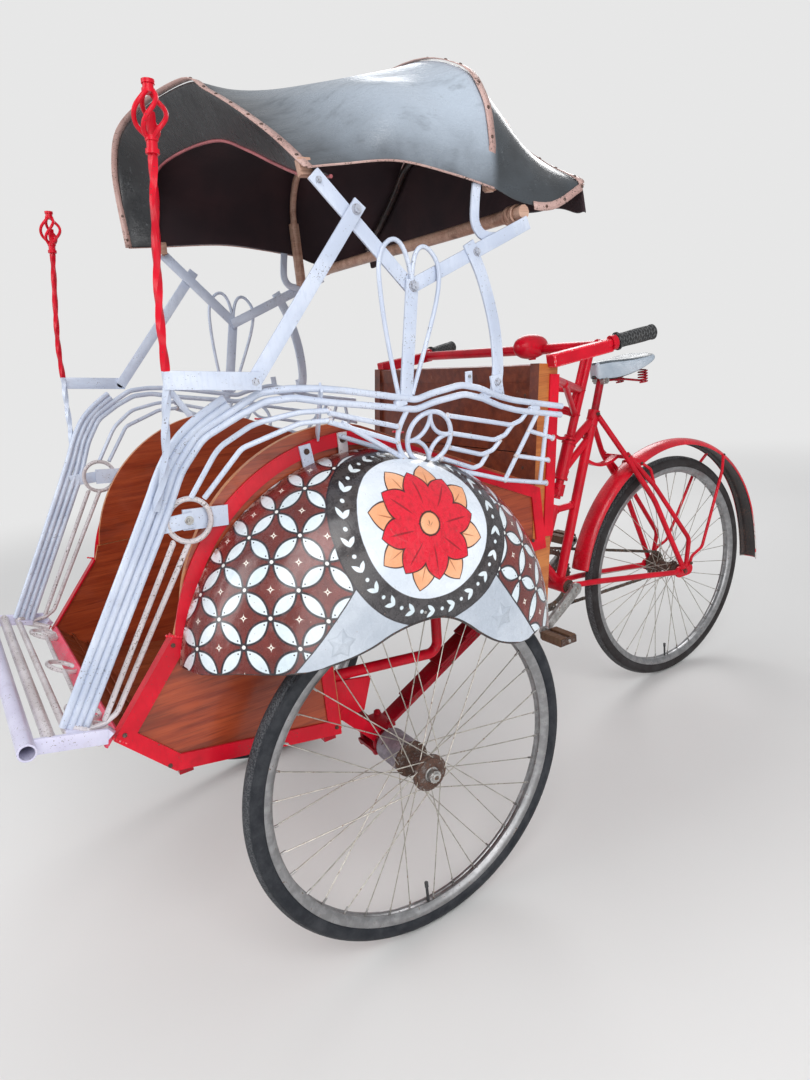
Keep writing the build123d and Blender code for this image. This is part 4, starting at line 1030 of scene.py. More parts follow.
# Front fenders
fenderValues = {
    "centre": (17, 588),
    "inner": 345.3,
    "bulge": 184.7,
    "wall": 2.6,
    # share of the way out, radius
    "profile": [(0, 378), (0.32, 369), (0.6, 344), (0.81, 305), (0.94, 252), (1, 185), (1, 120), (1, 40)],
    # lower edge in the side view
    "edge": [(430, 664), (385, 665), (330, 675), (250, 663), (185, 662), (125, 668), (80, 680), (35, 686),
             (-12, 684), (-47, 671), (-75, 651), (-100, 628), (-130, 605), (-160, 590), (-187, 582),
             (-215, 580), (-260, 586), (-300, 566), (-330, 548), (-420, 545)],
    "disc": (-22, 500, 845),
    "discRadius": 129,
    "ringRadius": 173,
    "stars": [(175, 692, 0.25), (-151, 647, -0.1)],
}


def batikPaint(name, side, values):
    # Lens petals between junctions on a slanting lattice, a ring band with leaves, a white disc and
    # grey tongues
    paint = Finish(name, coat=0.35, coatRoughness=0.1)
    wobble = paint.noise(22, 2, shift=4) - 0.5
    rawX, rawY, rawZ = paint.split(paint.coords)
    x = (rawX * 1000 - (axleX + values["centre"][0])) + wobble * 3
    y = rawY * (1000 * side) - sideFace
    z = (rawZ * 1000 - values["centre"][1]) + wobble * 2

    blend = paint.mix

    def within(distance, size, soft=0.7):
        # 1 inside a form whose distance in millimetres is below size
        return 1 - distance.band(size - soft, size + soft)

    # Lattice numbers of the painted junctions
    front = abs(x)
    rows = 3.567 - front * 0.0055 + y * 0.01069 - z * 0.01053
    columns = 0.437 - front * 0.01331 + y * 0.00286 + z * 0.00922
    rowGap, columnGap = rows.cell(1), columns.cell(1)
    rowMid, columnMid = (rows + 0.5).cell(1), (columns + 0.5).cell(1)

    def petals(width, reach):
        # Lens forms along both sets of lattice lines, joined
        first = abs(rowGap) + columnMid * columnMid * (width / reach ** 2)
        second = abs(columnGap) + rowMid * rowMid * (width / reach ** 2)
        return 1 - first.least(second).band(width - 0.013, width + 0.013)

    cloud = paint.noise(9, 4)
    stroke = paint.noise(150, 3, 0.65, (1, 1, 0.3), (0.4, 0.3, 0), 2)
    grime = paint.noise(60, 6, 0.75, shift=8)
    maroon = blend(cloud.band(0.35, 0.65), (0.115, 0.022, 0.018), (0.185, 0.034, 0.028))
    maroon = blend(stroke.band(0.45, 0.7) * 0.45, maroon, (0.085, 0.018, 0.018))
    maroon = blend(grime.band(0.57, 0.66) * 0.35, maroon, (0.30, 0.16, 0.15))
    junction = (rowGap * rowGap + columnGap * columnGap).root()
    outline = petals(0.205, 0.475).most(1 - junction.band(0.075, 0.13))
    white = blend(cloud.band(0.3, 0.7), (0.60, 0.70, 0.75), (0.76, 0.82, 0.86))
    white = blend(stroke.band(0.5, 0.72) * 0.35, white, (0.50, 0.58, 0.62))
    dark = (0.018, 0.015, 0.020)
    pattern = blend(outline, maroon, blend(stroke.band(0.4, 0.7), dark, (0.05, 0.04, 0.05)))
    petal = petals(0.150, 0.385)
    pattern = blend(petal, pattern, white)
    dots = (abs(columnMid) - 0.275) ** 2 + rowGap * rowGap
    dots = dots.least((abs(rowMid) - 0.275) ** 2 + columnGap * columnGap)
    pattern = blend(1 - dots.band(0.00028, 0.00055), pattern, dark)
    pattern = blend(1 - junction.band(0.040, 0.058), pattern, (0.80, 0.80, 0.78))
    # Four-pointed crosses in the cells, with an open middle
    slant = (rowMid + columnMid) * 0.7071
    other = (rowMid - columnMid) * 0.7071
    cross = abs(slant).root() + abs(other).root()
    middle = (slant * slant + other * other).root()
    pattern = blend((1 - cross.band(0.345, 0.375)) * middle.band(0.018, 0.03), pattern, (0.80, 0.74, 0.66))
    # Rubbed rim of the fender, where the paint has gone
    rim = y.band(22, 3) * grime.band(0.47, 0.56)
    pattern = blend(rim, pattern, (0.34, 0.20, 0.17))

    # Grey tongues below the ring, edged in black
    leftEdge = (x - 119) - (183 - z) * 1.046 + (z - 125) * (183 - z) * 0.0012
    rightEdge = (-169 - x) - (127 - z) * 0.62
    tongueDepth = leftEdge.most(rightEdge).most(z - 205)
    grey = blend(cloud.band(0.35, 0.7), (0.42, 0.47, 0.54), (0.54, 0.59, 0.66))
    grey = blend(stroke.band(0.5, 0.75) * 0.3, grey, (0.34, 0.38, 0.44))
    base = blend(within(tongueDepth, 3.5), pattern, dark)
    base = blend(within(tongueDepth, 0), base, grey)

    # Ring band and disc, by distance from the disc's middle on the bulging steel
    discX, discY, discZ = values["disc"]
    dx = x + (values["centre"][0] - discX)
    dy = y + (sideFace - discY)
    dz = z + (values["centre"][1] - discZ)
    reach = (dx * dx + dy * dy + dz * dz).root()
    turn = dx.math("ARCTAN2", dz, dx)
    band = blend(grime.band(0.35, 0.7), (0.024, 0.022, 0.025), (0.062, 0.056, 0.060))
    band = blend(cloud.band(0.5, 0.75) * 0.5, band, (0.075, 0.052, 0.040))
    # A wreath of paired leaves and dots goes round the band
    leaves = 22
    arc = 2 * math.pi / leaves
    middleRadius = (values["discRadius"] + values["ringRadius"]) / 2
    onArc = turn.cell(arc) * middleRadius
    offMiddle = reach - middleRadius
    lean = abs(offMiddle)
    leafAlong = (onArc + 3) * 0.80 + lean * 0.60
    leafAcross = lean * 0.80 - (onArc + 3) * 0.60
    leaf = abs(leafAcross - 0.8) + (leafAlong - 6) * (leafAlong - 6) * 0.034
    band = blend(1 - leaf.band(3.4, 4.4), band, white)
    bead = (((turn + arc / 2).cell(arc) * middleRadius) ** 2 + offMiddle * offMiddle).root()
    band = blend(within(bead, 3.4), band, white)
    base = blend(within(reach, values["ringRadius"] + 2.5), base, dark)
    base = blend(within(reach, values["ringRadius"]), base, band)
    disc = blend(cloud.band(0.3, 0.7), (0.62, 0.68, 0.76), (0.76, 0.81, 0.88))
    disc = blend(stroke.band(0.55, 0.75) * 0.15, disc, (0.52, 0.58, 0.66))

    # Eight-petalled flower on the disc: red petals before peach ones, all lined in brown-black
    line = (0.045, 0.012, 0.010)
    flowerX, flowerZ = dx, dz + 4
    flowerReach = (flowerX * flowerX + flowerZ * flowerZ + dy * dy).root()
    flowerTurn = dx.math("ARCTAN2", flowerZ, flowerX)

    def flower(count, phase, near, far, width):
        # Depth into the petals: positive inside
        folded = (flowerTurn + phase).cell(2 * math.pi / count)
        along = flowerReach * folded.math("COSINE", folded)
        across = abs(flowerReach * folded.sine())
        half = (far - near) / 2
        spot = (along - (near + half)) / half
        return (1 - abs(spot) ** 2.4) * width - across

    peach = blend(cloud.band(0.4, 0.65), (0.80, 0.36, 0.18), (0.88, 0.47, 0.27))
    red = blend(stroke.band(0.45, 0.7), (0.70, 0.008, 0.030), (0.50, 0.006, 0.020))
    back = flower(8, math.pi / 8, 30, 113, 25)
    disc = blend(back.band(-2.6, -1.2), disc, line)
    disc = blend(back.band(0.4, 1.6), disc, peach)
    vein = flower(8, math.pi / 8, 50, 102, 1.6)
    disc = blend(vein.band(0, 1), disc, (0.42, 0.14, 0.06))
    fore = flower(8, 0, 18, 96, 26)
    disc = blend(fore.band(-2.6, -1.2), disc, line)
    disc = blend(fore.band(0.4, 1.6), disc, red)
    fold = flower(8, 0, 34, 84, 2.2)
    disc = blend(fold.band(0, 1), disc, (0.30, 0.004, 0.012))
    disc = blend(within(flowerReach, 27), disc, line)
    disc = blend(within(flowerReach, 24.5), disc, peach)
    seeds = ((flowerTurn.cell(2 * math.pi / 8) * 15) ** 2 + (flowerReach - 15) ** 2).root()
    disc = blend(within(seeds, 2.6), disc, line)
    disc = blend(within(flowerReach, 6), disc, (0.70, 0.008, 0.030))
    base = blend(within(reach, values["discRadius"]), base, disc)

    # Stars pressed into the grey tongues
    raised = None
    for starX, starZ, tilt in values["stars"]:
        sx = x - (starX - values["centre"][0])
        sz = z - (starZ - values["centre"][1])
        starTurn = (sx.math("ARCTAN2", sx, sz) + tilt).cell(2 * math.pi / 5)
        starReach = (sx * sx + sz * sz).root()
        along = starReach * starTurn.math("COSINE", starTurn)
        across = abs(starReach * starTurn.sine())
        form = 1 - (along * 0.559 + across * 0.829) / (27 * 0.559)
        form = form.most(0)
        raised = form if raised is None else raised.most(form)
    # Painted shade: the foot of each pressed star is darkened in a thin ring inside its outline
    base = blend(raised.band(0.0, 0.06) * (1 - raised.band(0.08, 0.3)) * 0.35, base, (0.30, 0.34, 0.40))

    # Splashes of road dirt towards the lower edge, and chips
    splash = paint.noise(75, 6, 0.8, shift=15)
    base = blend((splash + z * -0.0005).band(0.60, 0.70) * 0.4, base, (0.13, 0.10, 0.08))
    chip = paint.noise(240, 2, shift=21)
    base = blend(chip.band(0.745, 0.76), base, (0.30, 0.19, 0.15))
    paint.set("Base Color", base)
    paint.set("Roughness", 0.2 + grime.band(0.4, 0.7) * 0.28 + stroke.band(0.5, 0.8) * 0.1)
    paint.bump(raised * 3.2 + petal * 0.12 + stroke * 0.10 + cloud * 0.25, 0.0016, 0.85)
    return paint.material


def fenderOut(values, radius):
    # How far the shell stands out at a radius
    spots = values["profile"]
    for (shareA, a), (shareB, b) in zip(spots, spots[1:]):
        if a >= radius >= b:
            share = shareA + (shareB - shareA) * (a - radius) / (a - b)
            return values["inner"] - sideFace + share * values["bulge"]
    return values["inner"] - sideFace + (0 if radius > spots[0][1] else values["bulge"])


def makeFender(values, side, end):
    centreX, centreZ = values["centre"]
    profile = [Vector((values["inner"] + share * values["bulge"], radius, 0))
               for share, radius in values["profile"]]
    outside = smoothLine(profile, 6)
    inside = []
    for i, here in enumerate(outside):
        along = heading(outside, i)
        inside.append(here + Vector((along.y, -along.x, 0)) * values["wall"] * (1 if along.y < 0 else -1))
    bm = bmesh.new()
    ring = [(side * spot.x, spot.y) for spot in outside + inside[::-1]]
    spun(bm, ring, place(centreX, 0, centreZ), 120)
    shell = linked("fenderShell", meshOf("fenderShell", bm))
    edge = smoothLine([place(x, 0, z) for x, z in values["edge"]], 5)
    bm = bmesh.new()
    corners = [place(430, 0, 60), *edge, place(-420, 0, 60)]
    addPlate(bm, [spot + Vector((0, side * 0.30, 0)) for spot in corners], 300, (0, side, 0))
    cutter = linked("fenderCut", meshOf("fenderCut", bm))
    cut = shell.modifiers.new("cut", "BOOLEAN")
    cut.operation = "DIFFERENCE"
    cut.object = cutter
    cut.solver = "EXACT"
    ready = finalMesh(shell)
    bpy.data.objects.remove(shell)
    bpy.data.objects.remove(cutter)
    finish = "batikPaint" + end.capitalize()
    addFinish(batikPaint, finish, side, values)
    dress("fender_shell_" + end, ready, "cab", finish, ["fender_" + end], 40)
    hem = []
    for spot in edge:
        x, z = spot.x * 1000 - axleX, spot.z * 1000
        reach = math.hypot(x - centreX, z - centreZ)
        if reach < values["profile"][0][1] - 2:
            hem.append(place(x, side * (sideFace + fenderOut(values, reach) - 0.8), z))
    rods("fender_hem_" + end, [(hem, 4.4, None)], "cab", "darkHem", (), 2)
    bm = bmesh.new()
    addBolt(bm, place(13, side * 529.5, 700), (0, side, 0), 5, 2, 1.2)
    piece("fender_screw_" + end, bm, "cab", "nutSteel", (), 30)


addFinish(enamel, "darkHem", (0.03, 0.022, 0.022), (0.015, 0.012, 0.012), (0.16, 0.07, 0.05),
          (0.08, 0.05, 0.04), chips=0.62)
for side, end in bothSides:
    makeFender(fenderValues, side, end)
print("fenders are pressed and painted")

# Hood
hoodValues = {
    # X, forward skew, then Y and Z across from the left edge to the right one
    "sections": [
        (60, -0.05, [(424, 1404), (337, 1424), (244, 1462), (142, 1508), (25, 1552), (-150, 1576),
                     (-310, 1580), (-366, 1556), (-398, 1500), (-412, 1424)]),
        (114, -0.078, [(430, 1415), (341, 1480), (225, 1552), (126, 1606), (40, 1648), (-190, 1670),
                       (-360, 1660), (-428, 1604), (-440, 1530), (-434, 1425)]),
        (40, -0.05, [(430, 1421), (372, 1474), (280, 1533), (190, 1582), (70, 1624), (-180, 1645),
                     (-350, 1626), (-420, 1575), (-436, 1510), (-431, 1425)]),
        (-85, 0, [(430, 1428), (424, 1476), (392, 1528), (320, 1576), (160, 1618), (-150, 1626),
                  (-330, 1592), (-402, 1540), (-430, 1478), (-430, 1425)]),
        (-200, 0, [(428, 1409), (424, 1472), (398, 1532), (335, 1588), (175, 1638), (-165, 1645),
                   (-335, 1598), (-404, 1542), (-428, 1476), (-427, 1408)]),
        (-285, 0, [(423, 1390), (425, 1472), (411, 1542), (352, 1606), (180, 1660), (-180, 1664),
                   (-352, 1606), (-411, 1542), (-425, 1472), (-423, 1390)]),
        (-345, 0, [(425, 1366), (417, 1438), (398, 1500), (338, 1566), (185, 1630), (-185, 1634),
                   (-338, 1566), (-398, 1500), (-417, 1438), (-425, 1366)]),
        (-420, 0, [(425, 1360), (414, 1404), (378, 1455), (300, 1522), (170, 1596), (-170, 1598),
                   (-300, 1522), (-378, 1455), (-414, 1404), (-425, 1360)]),
        (-507, 0, [(416, 1395), (407, 1411), (334, 1450), (238, 1515), (158, 1588), (-158, 1588),
                   (-238, 1515), (-334, 1450), (-407, 1411), (-416, 1395)]),
    ],
    "folds": [1, 5],    # sections where the cover turns over a bow
    "wall": 2.6,
    "tape": 15,
    "nail": 3.2,
    "nailGap": 46,
    "frontFoot": (68, 414, 1404),
    "middleFeet": [(-285, 409, 1386), (-285, -409, 1312)],
    "bow": 17,
    "crossBar": 25,
    # The back flap's lower edge: height in the middle, how much lower its corners hang, and half its width
    "flap": (1383, 36, 416),
}


def hoodGrid(values):
    # Rows of spots: smooth along the hood between its folds, and smooth across
    sections = [[place(x + skew * y, y, z) for y, z in points] for x, skew, points in values["sections"]]
    stops = [0, *values["folds"], len(sections) - 1]
    rows, marks = [], []
    for start, end in zip(stops, stops[1:]):
        columns = [smoothLine([sections[k][c] for k in range(start, end + 1)], 5) for c in range(10)]
        marks.append(len(rows))
        rows += [list(row) for row in zip(*columns)][:-1]
    marks.append(len(rows))
    rows.append(sections[-1])
    return [smoothLine(row, 6) for row in rows], marks


def hoodFinish(name, dark, middle, sky, coat):
    # Glossy black leather, a little grey-blue, creased, scuffed and dusty, with a painted sky reflection that
    # is palest ahead of the middle bow and high up
    paint = Finish(name, coat=coat, coatRoughness=0.22)
    cloud = paint.noise(5, 4, 0.6)
    crease = paint.noise(26, 5, 0.7, (0.4, 1.6, 1), shift=3)
    grain = paint.noise(700, 2, shift=6)
    scuff = paint.noise(75, 6, 0.8, (1, 0.35, 1), (0, 0, 0.5), 9)
    x, y, z = paint.split(paint.coords)
    base = paint.mix(cloud.band(0.35, 0.65), dark, middle)
    # Painted reflection: the sky colour laid on the roof ahead of the middle bow and towards the top
    paintedSkySheen = x.band(0.65, 0.36) * x.band(0.222, 0.246) * (z + cloud * 0.16).band(1.43, 1.60)
    base = paint.mix(paintedSkySheen * 0.9, base, sky)
    base = paint.mix(crease.band(0.5, 0.72) * 0.35, base, dark)
    base = paint.mix(scuff.band(0.60, 0.70) * 0.5, base, (0.24, 0.27, 0.29))
    paint.set("Base Color", base)
    paint.set("Roughness", 0.26 + crease.band(0.4, 0.7) * 0.18 + scuff.band(0.55, 0.7) * 0.25)
    paint.bump(crease * 1.0 + grain * 0.12 + cloud * 0.8, 0.004, 0.55)
    return paint.material


def liningFinish(name):
    # Dark maroon cloth inside, with a fine weave
    paint = Finish(name, roughness=0.9)
    cloud = paint.noise(7, 4)
    x, y, z = paint.split(paint.coords)
    weave = (x * 5200).sine() * 0.5 + (y * 5200 + z * 3000).sine() * 0.5
    base = paint.mix(cloud.band(0.35, 0.68), (0.022, 0.012, 0.016), (0.040, 0.018, 0.022))
    paint.set("Base Color", paint.mix(weave.band(0.2, 0.9) * 0.35, base, (0.055, 0.024, 0.028)))
    paint.bump(weave * 0.4 + cloud * 0.6, 0.0012, 0.4)
    return paint.material


def addRibbon(bm, line, across, lift, width):
    # A flat ribbon along a line: across gives its breadth and lift how it stands off the cover
    edges = []
    for end in (-0.5, 0.5):
        spots = [here + a.normalized() * width / 1000 * end + up * 0.0016
                 for here, a, up in zip(line, across, lift)]
        verts = [bm.verts.new(spot) for spot in spots]
        edges += [bm.edges.new(pair) for pair in zip(verts, verts[1:])]
    bmesh.ops.bridge_loops(bm, edges=edges)


def nailsAlong(bm, line, lift, gap, size):
    walked = gap * 0.5
    for a, b, up in zip(line, line[1:], lift):
        walked += (b - a).length * 1000
        if walked > gap:
            walked = 0
            turn = up.to_track_quat("Z", "Y").to_matrix().to_4x4()
            addBead(bm, b + up * 0.0028, size / 1000, turn @ Matrix.Diagonal((1, 1, 0.45, 1)))


def makeHood(values):
    rows, marks = hoodGrid(values)
    count = len(rows[0])
    crease = random.Random(3)
    waves = [(crease.uniform(14, 34), crease.uniform(-9, 9), crease.uniform(0, 6.3)) for _ in range(9)]
    pulled = []
    for r, row in enumerate(rows):
        # Soft pulls between the nails, strongest away from the bows
        nearFold = min(min(abs(r - m) for m in marks) / 5, 1)
        spots = []
        for c, spot in enumerate(row):
            pull = sum(math.sin(spot.x * a + spot.y * b * 3 + spot.z * 7 + p) for a, b, p in waves) / 9
            edgeSag = math.sin(math.pi * c / (count - 1)) ** 0.5
            spots.append(spot + Vector((0, 0, pull * 0.0065 * nearFold * (0.35 + edgeSag))))
        pulled.append(spots)
    bm = draped(pulled, Vector((0, 0, 1)))
    bm.verts.index_update()
    # Faces ahead of the front fold are the valance, in a darker copy of the leather as painted shade
    for face in bm.faces:
        face.material_index = 2 if min(v.index for v in face.verts) // count < marks[1] else 0
    area = sum(face.calc_area() for face in bm.faces)
    print("hood cover area", round(area, 3))
    leathers = ["hoodLeather", "hoodLining", "valanceLeather", "hoodLining"]
    cover = piece("hood_cover_sheet", bm, "cab", leathers, ["hood_cover"], 180)
    thicken(cover, values["wall"], inner=1)
    smoothed(cover)

    # Tacked ribbons: along the front edge, over the middle bow, along the rear corners and the edges
    ribbons, nails = bmesh.new(), bmesh.new()

    def track(line, across):
        lift = []
        for i, here in enumerate(line):
            up = heading(line, i).cross(across[i]).normalized()
            lift.append(up if up.z > 0 or abs(up.z) < 0.2 and up.y * here.y > 0 else -up)
        addRibbon(ribbons, line, across, lift, values["tape"])
        nailsAlong(nails, line, lift, values["nailGap"], values["nail"])

    frontRow, middleRow = marks[1], marks[2]
    for low, line, high in [(frontRow, frontRow, frontRow + 1), (middleRow - 1, middleRow, middleRow + 1)]:
        track(rows[line], [b - a for a, b in zip(rows[low], rows[high])])
    rear = rows[middleRow + 7:]
    for c, step in ((0, 1), (count - 1, -1)):
        track([row[c] for row in rear], [row[c] - row[c + step] for row in rear])
    track(rows[-1], [b - a for a, b in zip(rows[-2], rows[-1])])
    thicken(piece("hood_ribbons", ribbons, "cab", "tapeLeather", (), 40), 1.6, 0)
    piece("hood_nails", nails, "cab", "nailSteel", (), 60)
    # Piping round the front opening, and hems along the side edges
    rods("hood_piping", [(rows[0], 6, None)], "cab", "pipingLeather", (), 2)
    edges = [([row[c] for row in rows[frontRow:middleRow + 1]], 3.6, None) for c in (0, count - 1)]
    rods("hood_hems", edges, "cab", "tapeLeather", (), 1)

    # The back flap hangs from the rear bow nearly down to the cross bar, a little lower at its corners
    folds = 6
    middleFoot, sag, half = values["flap"]
    falls = []
    for c, top in enumerate(rows[-1][2:-2]):
        lower = middleFoot - sag * (abs(top.y) * 1000 / half) ** 4 + 3 * math.sin(c * 0.8)
        footX = top.x - 0.010 + 0.005 * math.sin(c * 0.55)
        foot = Vector((footX, top.y, min(lower / 1000, top.z - 0.012)))
        falls.append([(top - Vector((0.002, 0, 0.001))).lerp(foot, r / folds) for r in range(folds + 1)])
    bm = draped(list(zip(*falls)), Vector((-1, 0, 0)))
    area = sum(face.calc_area() for face in bm.faces)
    flap = piece("hood_back_flap", bm, "cab", leathers[:2], (), 180)
    thicken(flap, 2, inner=1)
    smoothed(flap)
    print("back flap area", round(area, 3))


def makeBows(values):
    # The front bow lies in the pocket between the cover and its valance
    rows, marks = hoodGrid(values)
    fold, size = marks[1], values["bow"]
    pocket = []
    for c in range(3, len(rows[0]) - 3, 3):
        here = rows[fold][c]
        roof, fall = (rows[fold + 3][c] - here).normalized(), (rows[fold - 3][c] - here).normalized()
        wedge = math.acos(roof.dot(fall)) / 2
        pocket.append(here + (roof + fall).normalized() * min(0.011 / math.sin(wedge), 0.058))
    footX, footY, footZ = values["frontFoot"]
    runs = [([place(footX, footY, footZ), *pocket, place(footX, -footY, footZ)], 14, None)]
    x, _, points = values["sections"][values["folds"][-1]]
    hoop = [place(x, y - 12 * (1 if y > 0 else -1), z - 14) for y, z in points[1:-1]]
    left, right = values["middleFeet"]
    runs.append(([place(*left), *hoop, place(*right)], size, None))
    bar = [place(-352, 423, 1351), place(-352, 150, 1347), place(-352, -150, 1350), place(-352, -423, 1347)]
    runs.append((bar, values["crossBar"], None))
    x, _, points = values["sections"][-1]
    rear = [place(x + 12, y - 9 * (1 if y > 0 else -1), z - 10) for y, z in points[1:-1]]
    rods("hood_rear_bow", [(rear, size, None)], "cab", "darkHem", (), 3)
    rods("hood_bow_wood", runs, "cab", "bowWood", ["hood_bows"], 3)
    # Wooden uprights of the middle bow and the cloth wrapped round its joint with the cross bar
    bm = bmesh.new()
    for s in (1, -1):
        addBar(bm, place(-285, s * 411, 1388 if s > 0 else 1314), place(-285, s * 411, 1470), 24, 13)
        addBar(bm, place(76, s * 412, 1406), place(76, s * 406, 1432), 22, 14)
    softenEdges(bm, 1.4)
    piece("hood_uprights", bm, "cab", "bowWood")
    bm = bmesh.new()
    for z in (1332, 1368, 1404, 1440):
        addBolt(bm, place(-285, -404.4, z), (0, 1, 0), 4.5, 1.2, 1.2)
    piece("hood_upright_nails", bm, "cab", "nailSteel", (), 30)
    wraps = []
    for s in (1, -1):
        for i in range(5):
            radius = 14.2 + chance.uniform(0, 1.2)
            lean = (chance.uniform(-0.2, 0.2), 1, chance.uniform(-0.2, 0.2))
            wraps.append((circle(place(-352, s * (404 - i * 6), 1350), radius, lean, 8), 4.5, "closed"))
    rods("hood_wraps", wraps, "cab", "bowWood", (), 1)


# The third colour is the painted sky reflection on the roof
addFinish(hoodFinish, "hoodLeather", (0.026, 0.030, 0.034), (0.050, 0.060, 0.070), (0.47, 0.54, 0.63), 0.3)
# The valance's leather: the hood leather darkened as painted shade
addFinish(hoodFinish, "valanceLeather", (0.012, 0.013, 0.015), (0.022, 0.024, 0.027), (0.03, 0.033, 0.037),
          0.1)
addFinish(liningFinish, "hoodLining")
addFinish(enamel, "tapeLeather", (0.56, 0.38, 0.34), (0.44, 0.27, 0.24), (0.10, 0.07, 0.06),
          (0.20, 0.13, 0.11), chips=0.62, gloss=0.5)
addFinish(enamel, "pipingLeather", (0.42, 0.11, 0.12), (0.28, 0.06, 0.07), (0.10, 0.05, 0.05),
          (0.16, 0.08, 0.08), chips=0.64, gloss=0.45)
addFinish(metal, "nailSteel", (0.20, 0.14, 0.12), (0.10, 0.07, 0.06), (0.12, 0.05, 0.03), 0.6, 0.4)
makeBows(hoodValues)
makeHood(hoodValues)
print("hood is stretched over its bows")

# Hood arms
armValues = {
    "width": 24,
    "wall": 5,
    "postOut": 89,
    "loops": [
        [(-32, 1058), (-25, 1130), (-21, 1212), (-25, 1288), (-60, 1316), (-84, 1288), (-86, 1240)],
        [(-60, 1056), (-102, 1140), (-138, 1218), (-147, 1268), (-119, 1302), (-93, 1282), (-86, 1240)],
    ],
    "curve": [(-214, 1300), (-240, 1241), (-259, 1160), (-262, 1085), (-252, 1036)],
    "hook": [(-250, 1398), (-243, 1362), (-241, 1335), (-252, 1316), (-272, 1309), (-292, 1309)],
}


def makeArms(values, side, end):
    width, wall, post = values["width"], values["wall"], values["postOut"]
    lap = wall + 0.2
    front, rear = post - lap, post - 2 * lap
    bm = bmesh.new()
    for start, stop in [((-46, 97, 1050), (-87, post, 1243)), ((-93, front, 1223), (72, front - 2, 1408)),
                        ((226, 101, 1107), (-2, post - 0.6, 1364)),
                        ((-78, rear, 1229), (-358, rear + 2, 1332))]:
        addBar(bm, outboard(*start, side), outboard(*stop, side), width, wall)
    for name, out, steps, broad in [("curve", front, 5, width), ("hook", rear - lap, 4, 18)]:
        line = smoothLine([outboard(x, out, z, side) for x, z in values[name]], steps)
        addStrap(bm, [spot - Vector((0, wall / 2000 * side, 0)) for spot in line], broad, wall, (0, side, 0))
    addBar(bm, outboard(-252, front + 3.5, 1068, side), outboard(-256, front + 3.5, 1028, side), 26, 5)
    softenEdges(bm, 0.9)
    piece("hood_arm_bars_" + end, bm, "cab", "palePaint", ["hood_arm_" + end], 35)
    runs = [([outboard(x, 97 - 0.046 * (z - 1059), z, side) for x, z in loop], 8, None)
            for loop in values["loops"]]
    rods("hood_arm_loops_" + end, runs, "cab", "palePaint", (), 3)
    bm = bmesh.new()
    for x, out, z, size in [(-87, post + 2.6, 1233, 13), (7, post + 2.2, 1354, 12),
                            (-230, front + 2.6, 1284, 10), (224, 104, 1110, 12),
                            (-254, front + 6.2, 1055, 10), (64, front + 1.6, 1398, 7),
                            (-284, rear - lap + 3, 1309, 7)]:
        addBolt(bm, outboard(x, out, z, side), (0, side, 0), size, size * 0.55, 1.5)
    piece("hood_arm_bolts_" + end, bm, "cab", "paleBolt", (), 30)
    # A spare bolt hole: a small black disc stands in for the painted shade inside it
    bm = bmesh.new()
    spot = outboard(38, post + 1.7, 1318, side)
    addPin(bm, Matrix.Translation(spot) @ Matrix.Rotation(math.pi / 2, 4, "X"), 3.6, 1.2)
    piece("hood_arm_holes_" + end, bm, "cab", "gripRubber", (), 30)


addFinish(enamel, "paleBolt", (0.55, 0.59, 0.68), (0.36, 0.38, 0.44), (0.16, 0.13, 0.12),
          (0.24, 0.20, 0.19), chips=0.60, grime=0.8)
for side, end in bothSides:
    makeArms(armValues, side, end)
print("hood arms are bolted")

# Cab sides, floor and back
# A paler copy of the red paint for eased edges and weld nicks: painted highlight along the edges, with chips
# of wear
addFinish(enamel, "redWorn", (0.82, 0.035, 0.06), (0.66, 0.012, 0.03), (0.62, 0.40, 0.38),
          (0.42, 0.03, 0.03), chips=0.60, grime=0.3, coat=0.12, shine=0.3)
addFinish(wood, "backWood", (0.030, 0.008, 0.005), (0.115, 0.022, 0.010), (0.185, 0.040, 0.016),
          (0, 0, math.pi / 2), 0.5, 0.45, 0.25)
addFinish(wood, "cutWood", (0.22, 0.06, 0.02), (0.42, 0.13, 0.04), (0.55, 0.22, 0.08), (0, 0.03, 0), 0.5, 0.2,
          0.3)
cabValues = {
    "splitHeight": 747.5,
    "bandTab": (109, 936, 992),
    "ringTab": (258, 350, 878, 926),
    "postOuter": 339.5,
    "toeSeams": [0.31, 0.66],
    "bandBolts": [(36.5, 4.4, 988, 9), (109, 4.6, 978, 8), (106, 5.4, 949, 6)],    # X, out, Z, size
    "frameBolts": [(392, 702), (494, 576), (434, 495), (122, 447), (-395, 700)],
    "nicks": [(388, 716, 0.4), (505, 571, 0.9), (-83, 983, 0.2)],    # X, Z, lean
    "screws": [(y, z) for y in (-290, -100, 100, 290) for z in (745, 850, 915, 1005)],
}


def backX(z):
    return -395 - 0.12689 * (z - 540)


